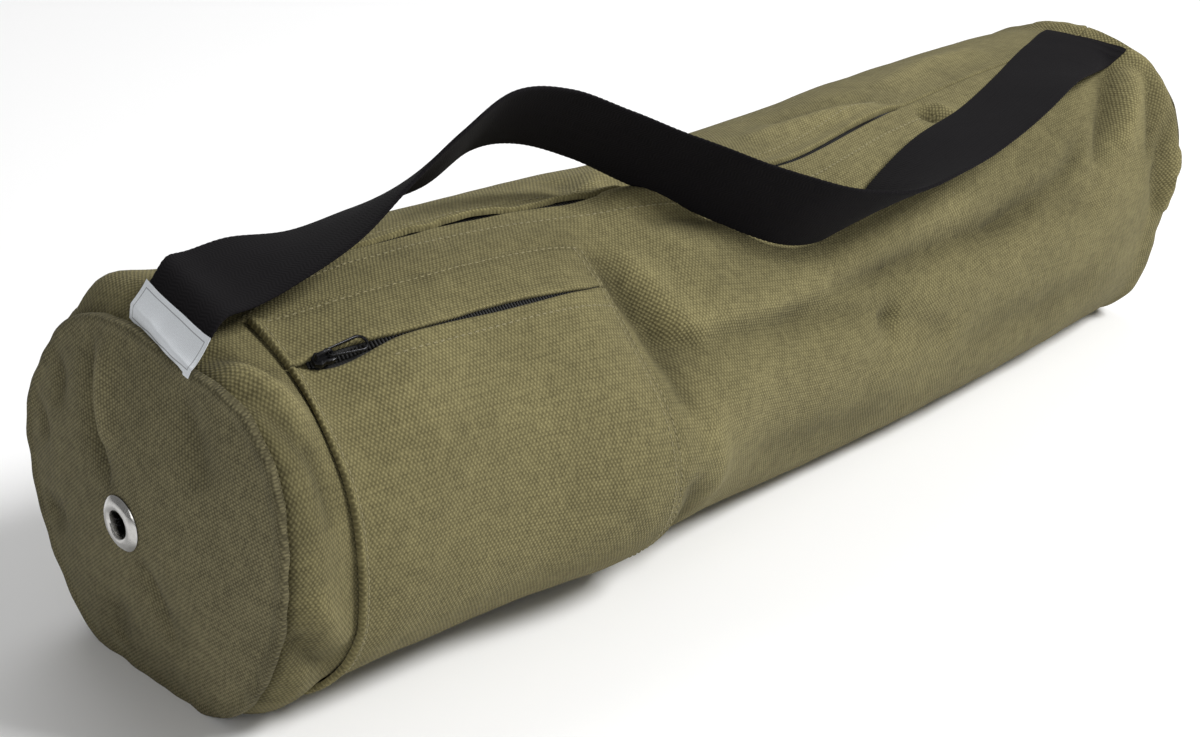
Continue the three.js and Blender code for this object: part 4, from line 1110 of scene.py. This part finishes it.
def strap_label(form, trim):
    """Plain label over the strap's near end, caught in the seam with the strap."""
    places = np.linspace(-trim.label_tuck, trim.label_height - trim.label_tuck, 22)
    run_shares, run = strap_rows(form, trim, 0.9)
    from_start, across = np.meshgrid(places, np.linspace(-1, 1, 41), indexing="ij")
    from_end = trim.label_height - trim.label_tuck - from_start
    lift = 0.9 * np.exp(-from_end / 2.5) * across ** 2 + 0.25 * np.sin(across * 5 + 1) * np.exp(-from_end / 6)
    uv = np.stack([from_start - places[0], (across + 1) * trim.label_width / 2], axis=-1)
    from_start = from_start + 1.6 * across
    shares = np.interp(from_start, run, run_shares)
    at = lambda share, height: strap_point(form, trim, share, across, height, trim.label_width / 2)
    faces = []
    for over in (0.6, 0.0):
        height = trim.strap_thickness + 0.35 + lift + over
        ahead = at(run_shares[2], height) - at(0.0, height)
        ahead = ahead / np.linalg.norm(ahead, axis=-1, keepdims=True)
        flat = at(shares, height)
        up = at(shares, height + 1) - flat
        faces.append(flat + (ahead * 0.3 + up) * np.minimum(from_start, 0.0)[..., None])
    piece = cloth_piece(
        "strap_label_cloth", *faces, uv, 0 * across, "label_satin", "label_cloth", "strap_label")
    flat = (trim.label_width * MM, trim.label_height * MM)


def seat_on_zip(form, part, around):
    """Place of a slider: X along its zip, Z outwards, moved so that its bridge lies on its joint."""
    x, height, reach = part["slider"] - form.length / 2, part["seat"], 4.0
    at = lambda dx, da: Vector(on_bag(form, x + dx, around(x + dx) + da, height, fine=False))
    x_way = (at(reach, 0) - at(-reach, 0)).normalized()
    z_way = x_way.cross(at(0, reach) - at(0, -reach)).normalized()
    seat = Matrix((x_way, z_way.cross(x_way), z_way)).transposed()
    joint = next(j for j in FRAME["joints"] if j["name"] == part["joint"])
    turn = (seat @ Vector(part["axis"])).rotation_difference(Vector(joint["axis"]))
    place = (turn.to_matrix() @ seat).to_4x4()
    return Matrix.Translation(Vector(joint["pos_m"]) - place @ BRIDGE_TOP) @ place


def slider_piece(kind, seat):
    """Slider: a waisted block with rounded edges and a wire bridge, made at the origin and seated."""
    length, width, height = SLIDER_SIZE
    bpy.ops.mesh.primitive_cube_add(size=MM, location=(0, 0, height / 2 * MM), scale=SLIDER_SIZE)
    block = bpy.context.object
    apply_place(block)
    edit_all()
    bpy.ops.mesh.subdivide(number_cuts=3)
    end = length / 2 - 0.3
    for test, size, level in ((lambda co: abs(co.x) < 1.5, (1, 0.72, 1), 0),
                              (lambda co: co.x > end, (1, 0.8, 0.8), MM),
                              (lambda co: co.x < -end, (1, 0.5, 0.8), MM)):
        select_where(block, test)
        bpy.ops.transform.resize(value=size, center_override=(0, 0, level))
    leave_edit()
    apply_modifier(block, "BEVEL", width=0.35 * MM, segments=2, limit_method="ANGLE")
    foot = height - 0.4
    bpy.ops.mesh.primitive_circle_add(vertices=12, radius=BRIDGE["wire"] / 2 * MM,
                                      location=(-BRIDGE_LEG * MM, 0, foot * MM))
    bridge = bpy.context.object
    apply_place(bridge)
    edit_all()
    bpy.ops.mesh.edge_face_add()
    extrude(z=BRIDGE["room"] + BRIDGE["wire"] / 2 - 0.8)
    bend_bridge(bridge)
    extrude(x=-2 * selected_middle(bridge).x / MM)
    bend_bridge(bridge)
    extrude(z=foot - selected_middle(bridge).z / MM)
    leave_edit()
    select_only(block)
    bridge.select_set(True)
    bpy.ops.object.join()
    place_piece(block, f"{kind}_slider", seat, "black_enamel", 40, ROOT, "black_metal", f"{kind}_zip_slider")


def bend_bridge(bridge):
    """Extrudes the selected end of the wire round a quarter bend."""
    turns = 5
    for _ in range(turns):
        extrude()
        middle = selected_middle(bridge)
        bpy.ops.transform.rotate(value=-math.radians(90 / turns), orient_axis="Y",
                                 center_override=(middle.x, 0, middle.z))
        bridge.update_from_editmode()
        cap = next(p for p in bridge.data.polygons if p.select)
        bpy.ops.transform.translate(value=cap.normal * 0.5 * MM)


def selected_middle(piece):
    """Middle of the selected vertices, in metres."""
    piece.update_from_editmode()
    chosen = [v.co for v in piece.data.vertices if v.select]
    return sum(chosen, Vector()) / len(chosen)


def pull_piece(kind, seat, length, width, turn, droop):
    """Wire-loop pull: a ring stretched into a long loop with a narrow eye."""
    radius = PULL_WIRE / 2
    eye = BRIDGE["wire"] / 2 + HOOK_GAP + radius
    wide = width / 2 - radius
    bpy.ops.mesh.primitive_torus_add(major_radius=wide * MM, minor_radius=radius * MM,
                                     major_segments=48, minor_segments=10)
    ring = bpy.context.object
    select_where(ring, lambda co: co.x > -0.01)
    bpy.ops.transform.translate(value=((length - 2 * radius - wide) * MM, 0, 0))
    select_where(ring, lambda co: co.x < 0.01)
    bpy.ops.transform.resize(value=(eye / wide * 0.9, eye / wide, 1), center_override=(0, 0, 0))
    bpy.ops.transform.translate(value=(eye * 0.9 * MM, 0, 0))
    leave_edit()
    turn = math.radians(turn)
    hook = Matrix.Translation(BRIDGE_TOP - Vector((math.cos(turn), math.sin(turn), 0)) * eye * MM)
    hook = hook @ Matrix.Rotation(turn, 4, "Z") @ Matrix.Rotation(math.radians(droop), 4, "Y")
    name = f"{kind}_pull"
    place_piece(ring, name, seat @ hook, "black_enamel", 60, name, "black_metal", f"{kind}_zip_pull")


def tape_cloth(form, kind, ends, around, half, bottom, top):
    """Woven tape under a zip's coil, as one thin band."""
    x, across = np.meshgrid(fill_between(ends, 3.0), np.linspace(-1, 1, 9), indexing="ij")
    turned = around(x) - degrees_of(form, half, x, around(x)) * across
    outer, inner = (on_bag(form, x, turned, height) for height in (top, bottom))
    uv = np.stack([x, across * half], axis=-1)
    piece = cloth_piece(
        f"{kind}_tape_cloth", outer, inner, uv, 0 * x, "zip_tape", "zip_tape", f"{kind}_zip_tape")


def coil_links(form, kind, ends, around, width, bottom, top):
    """Closed zip coil: small rounded links across the slot, each a copy of one shape."""
    bpy.ops.mesh.primitive_cube_add(size=MM, scale=(1.1, width, top - bottom))
    link = bpy.context.object
    apply_place(link)
    apply_modifier(link, "BEVEL", width=0.3 * MM, segments=1)
    places = fill_between(ends, 1.6)
    middle, upper = (on_bag(form, places, around(places) + turn, (bottom + top) / 2, fine=False)
                     for turn in (0, 1))
    frames = []
    for k, centre in enumerate(middle):
        ahead = middle[min(k + 1, len(middle) - 1)] - middle[max(k - 1, 0)]
        ahead = ahead / np.linalg.norm(ahead)
        side = upper[k] - centre
        side = side - ahead * (side @ ahead)
        side = side / np.linalg.norm(side)
        frames.append((centre, ahead, side, np.cross(ahead, side)))
    piece = copies(f"{kind}_coil_links", take_shape(link), frames, "zip_coil")
    finish_piece(piece, ROOT, "zip_tape", f"{kind}_zip_coil")


def eyelet_ring(form, name, profile, node):
    """Ring about X through the near panel's middle: a circle extruded and sized ring by ring.

    profile gives each ring's distance out from the panel and its radius, in mm."""
    start = profile[0][0]
    bpy.ops.mesh.primitive_circle_add(vertices=72, radius=profile[0][1] * MM, fill_type="NOTHING")
    ring = bpy.context.object
    edit_all()
    for (out_a, r_a), (out_b, r_b) in zip(profile, profile[1:]):
        bpy.ops.mesh.extrude_edges_move(TRANSFORM_OT_translate={"value": (0, 0, (out_b - out_a) * MM)})
        bpy.ops.transform.resize(value=(r_b / r_a, r_b / r_a, 1), center_override=(0, 0, 0))
    select_where(ring, lambda co: any(math.dist((math.hypot(co.x, co.y), co.z), (radius, out - start)) < 0.02
                                      for out, radius in (profile[0], profile[-1])))
    bpy.ops.mesh.bridge_edge_loops()
    leave_edit()
    middle = Vector((-form.length / 2 - form.near_dome - start, 0, section_middle(form, -0.5)))
    place = Matrix.Translation(middle * MM) @ Matrix.Rotation(-math.pi / 2, 4, "Y")
    place_piece(ring, name, place, "eyelet_nickel", 35, ROOT, "nickel", node)


# Operators

class MATBAG_OT_stage(bpy.types.Operator):
    """Pale floor, soft studio light and the camera at the photo's angle"""

    bl_idname = "matbag.stage"
    bl_label = "Stage"

    def execute(self, context):
        scene, stage = context.scene, context.scene.mat_bag_stage
        bpy.ops.mesh.primitive_plane_add(size=12.0)
        floor = context.object
        floor.name = "floor"
        floor.data.materials.append(finish("floor"))
        scene.world = bpy.data.worlds.new("studio")
        scene.world.use_nodes = True
        sky = scene.world.node_tree.nodes["Background"].inputs
        sky["Color"].default_value = (1.0, 1.0, 1.0, 1.0)
        sky["Strength"].default_value = stage.sky
        for key, place, size in SOFTBOXES:
            bpy.ops.object.light_add(type="AREA", location=place)
            light = context.object
            light.name = f"{key}_softbox"
            light.data.energy = getattr(stage, key)
            light.data.size = size
            light.rotation_euler = (LIT_POINT - Vector(place)).to_track_quat("-Z", "Y").to_euler()
        bpy.ops.object.camera_add()
        camera = context.object
        camera.name = "photo_camera"
        axes = Matrix((CAMERA_RIGHT, CAMERA_UP, CAMERA_RIGHT.cross(CAMERA_UP))).transposed().to_4x4()
        camera.matrix_world = Matrix.Translation(CAMERA_PLACE) @ axes
        camera.data.lens = stage.lens
        camera.data.sensor_width = 36.0
        camera.data.clip_start = 0.01
        scene.camera = camera
        scene.view_settings.view_transform = "Standard"
        return {"FINISHED"}


class MATBAG_OT_body(bpy.types.Operator):
    """Canvas tube with its folds, end rolls and zip lips"""

    bl_idname = "matbag.body"
    bl_label = "Body cloth"

    def execute(self, context):
        body_cloth(context.scene.mat_bag_form)
        return {"FINISHED"}


class MATBAG_OT_end_panels(bpy.types.Operator):
    """Two domed round end panels"""

    bl_idname = "matbag.end_panels"
    bl_label = "End panels"

    def execute(self, context):
        form = context.scene.mat_bag_form
        hole = context.scene.mat_bag_trim.eyelet_hole / 2 + 1.1
        panel_cloth(form, "near_panel_cloth", -1, form.near_dome, hole, NEAR_CREASES, "near_end_panel")
        panel_cloth(form, "far_panel_cloth", 1, form.far_dome, 0, FAR_CREASES, "far_end_panel")
        return {"FINISHED"}


class MATBAG_OT_pocket(bpy.types.Operator):
    """Patch pocket with its slit"""

    bl_idname = "matbag.pocket"
    bl_label = "Pocket"

    def execute(self, context):
        form = context.scene.mat_bag_form
        pocket_cloth(form, "pocket_strip_cloth", "strip", "pocket_top_strip")
        pocket_cloth(form, "pocket_front_cloth", "front", "pocket_front")
        return {"FINISHED"}


class MATBAG_OT_stitches(bpy.types.Operator):
    """Rows of stitches along the zips and round the pocket"""

    bl_idname = "matbag.stitches"
    bl_label = "Stitches"

    def execute(self, context):
        form, cloth = context.scene.mat_bag_form, context.scene.mat_bag_cloth
        shape = stitch_shape()
        for name, (where, path) in STITCH_ROWS.items():
            stitch_row(form, cloth, f"stitches_{name}", where, path, shape)
        return {"FINISHED"}


class MATBAG_OT_zips(bpy.types.Operator):
    """Coils, sliders and wire pulls of both zips"""

    bl_idname = "matbag.zips"
    bl_label = "Zips"

    def execute(self, context):
        form = context.scene.mat_bag_form
        lines = {
            "main": lambda x: zip_around(form, x),
            "pocket": lambda x: below_zip(form, x, pocket_line(form, "zip", x)),
        }
        for kind, part in ZIPS.items():
            ends = [place - form.length / 2 for place in part["ends"]]
            coil_links(form, kind, ends, lines[kind], *part["coil"])
            tape_cloth(form, kind, ends, lines[kind], *part["tape"])
            seat = seat_on_zip(form, part, lines[kind])
            slider_piece(kind, seat)
            pull_piece(kind, seat, **part["pull"])
        return {"FINISHED"}


class MATBAG_OT_strap(bpy.types.Operator):
    """Webbing strap and its plain label"""

    bl_idname = "matbag.strap"
    bl_label = "Strap and label"

    def execute(self, context):
        form, trim = context.scene.mat_bag_form, context.scene.mat_bag_trim
        strap_webbing(form, trim)
        strap_label(form, trim)
        return {"FINISHED"}


class MATBAG_OT_eyelet(bpy.types.Operator):
    """Nickel eyelet of the near end panel, outside ring and inside washer"""

    bl_idname = "matbag.eyelet"
    bl_label = "Eyelet"

    def execute(self, context):
        form, trim = context.scene.mat_bag_form, context.scene.mat_bag_trim
        bore, rim = trim.eyelet_hole / 2, trim.eyelet_flange / 2
        flange = ((-3.0, bore), (1.2, bore), (2.0, bore + 0.35), (2.35, bore + 1.0), (2.5, bore + 2.0),
                  (2.3, bore + 3.2), (1.9, bore + 4.4), (1.3, rim - 1.1), (0.75, rim - 0.3), (0.4, rim),
                  (0.3, rim - 0.2), (0.3, bore + 0.8), (-3.0, bore + 0.8))
        eyelet_ring(form, "eyelet_ring", flange, "eyelet_flange")
        inner, outer = bore + 1.1, WASHER_RADIUS
        washer = ((-2.7, inner), (-1.9, inner), (-1.9, outer - 0.3), (-2.1, outer), (-2.5, outer),
                  (-2.7, outer - 0.3))
        eyelet_ring(form, "eyelet_back_ring", washer, "eyelet_washer")
        return {"FINISHED"}


class MATBAG_PT_panel(bpy.types.Panel):
    """Lists the bag's pieces in the sidebar"""

    bl_idname = "MATBAG_PT_panel"
    bl_label = "Yoga mat bag"
    bl_space_type = "VIEW_3D"
    bl_region_type = "UI"
    bl_category = "Mat Bag"

    def draw(self, context):
        for name in GROUPS:
            group = getattr(context.scene, name)
            box = self.layout.box()
            for key in group.bl_rna.properties.keys():
                if key not in {"rna_type", "name"}:
                    box.prop(group, key)
        for operator in OPERATORS:
            self.layout.operator(operator.bl_idname)


GROUPS = {
    "mat_bag_form": MatBagForm,
    "mat_bag_cloth": MatBagCloth,
    "mat_bag_trim": MatBagTrim,
    "mat_bag_stage": MatBagStage,
}
OPERATORS = (MATBAG_OT_stage, MATBAG_OT_body, MATBAG_OT_end_panels, MATBAG_OT_pocket, MATBAG_OT_stitches,
             MATBAG_OT_zips, MATBAG_OT_strap, MATBAG_OT_eyelet)
CLASSES = (*GROUPS.values(), *OPERATORS, MATBAG_PT_panel)


def register():
    for entry in CLASSES:
        bpy.utils.register_class(entry)
    for name, group in GROUPS.items():
        setattr(bpy.types.Scene, name, PointerProperty(type=group))


def unregister():
    for name in GROUPS:
        delattr(bpy.types.Scene, name)
    for entry in reversed(CLASSES):
        bpy.utils.unregister_class(entry)


def main():
    register()
    bpy.ops.matbag.stage()
    bpy.ops.matbag.body()
    bpy.ops.matbag.end_panels()
    bpy.ops.matbag.pocket()
    bpy.ops.matbag.stitches()
    bpy.ops.matbag.zips()
    bpy.ops.matbag.strap()
    bpy.ops.matbag.eyelet()


if __name__ == "__main__":
    main()
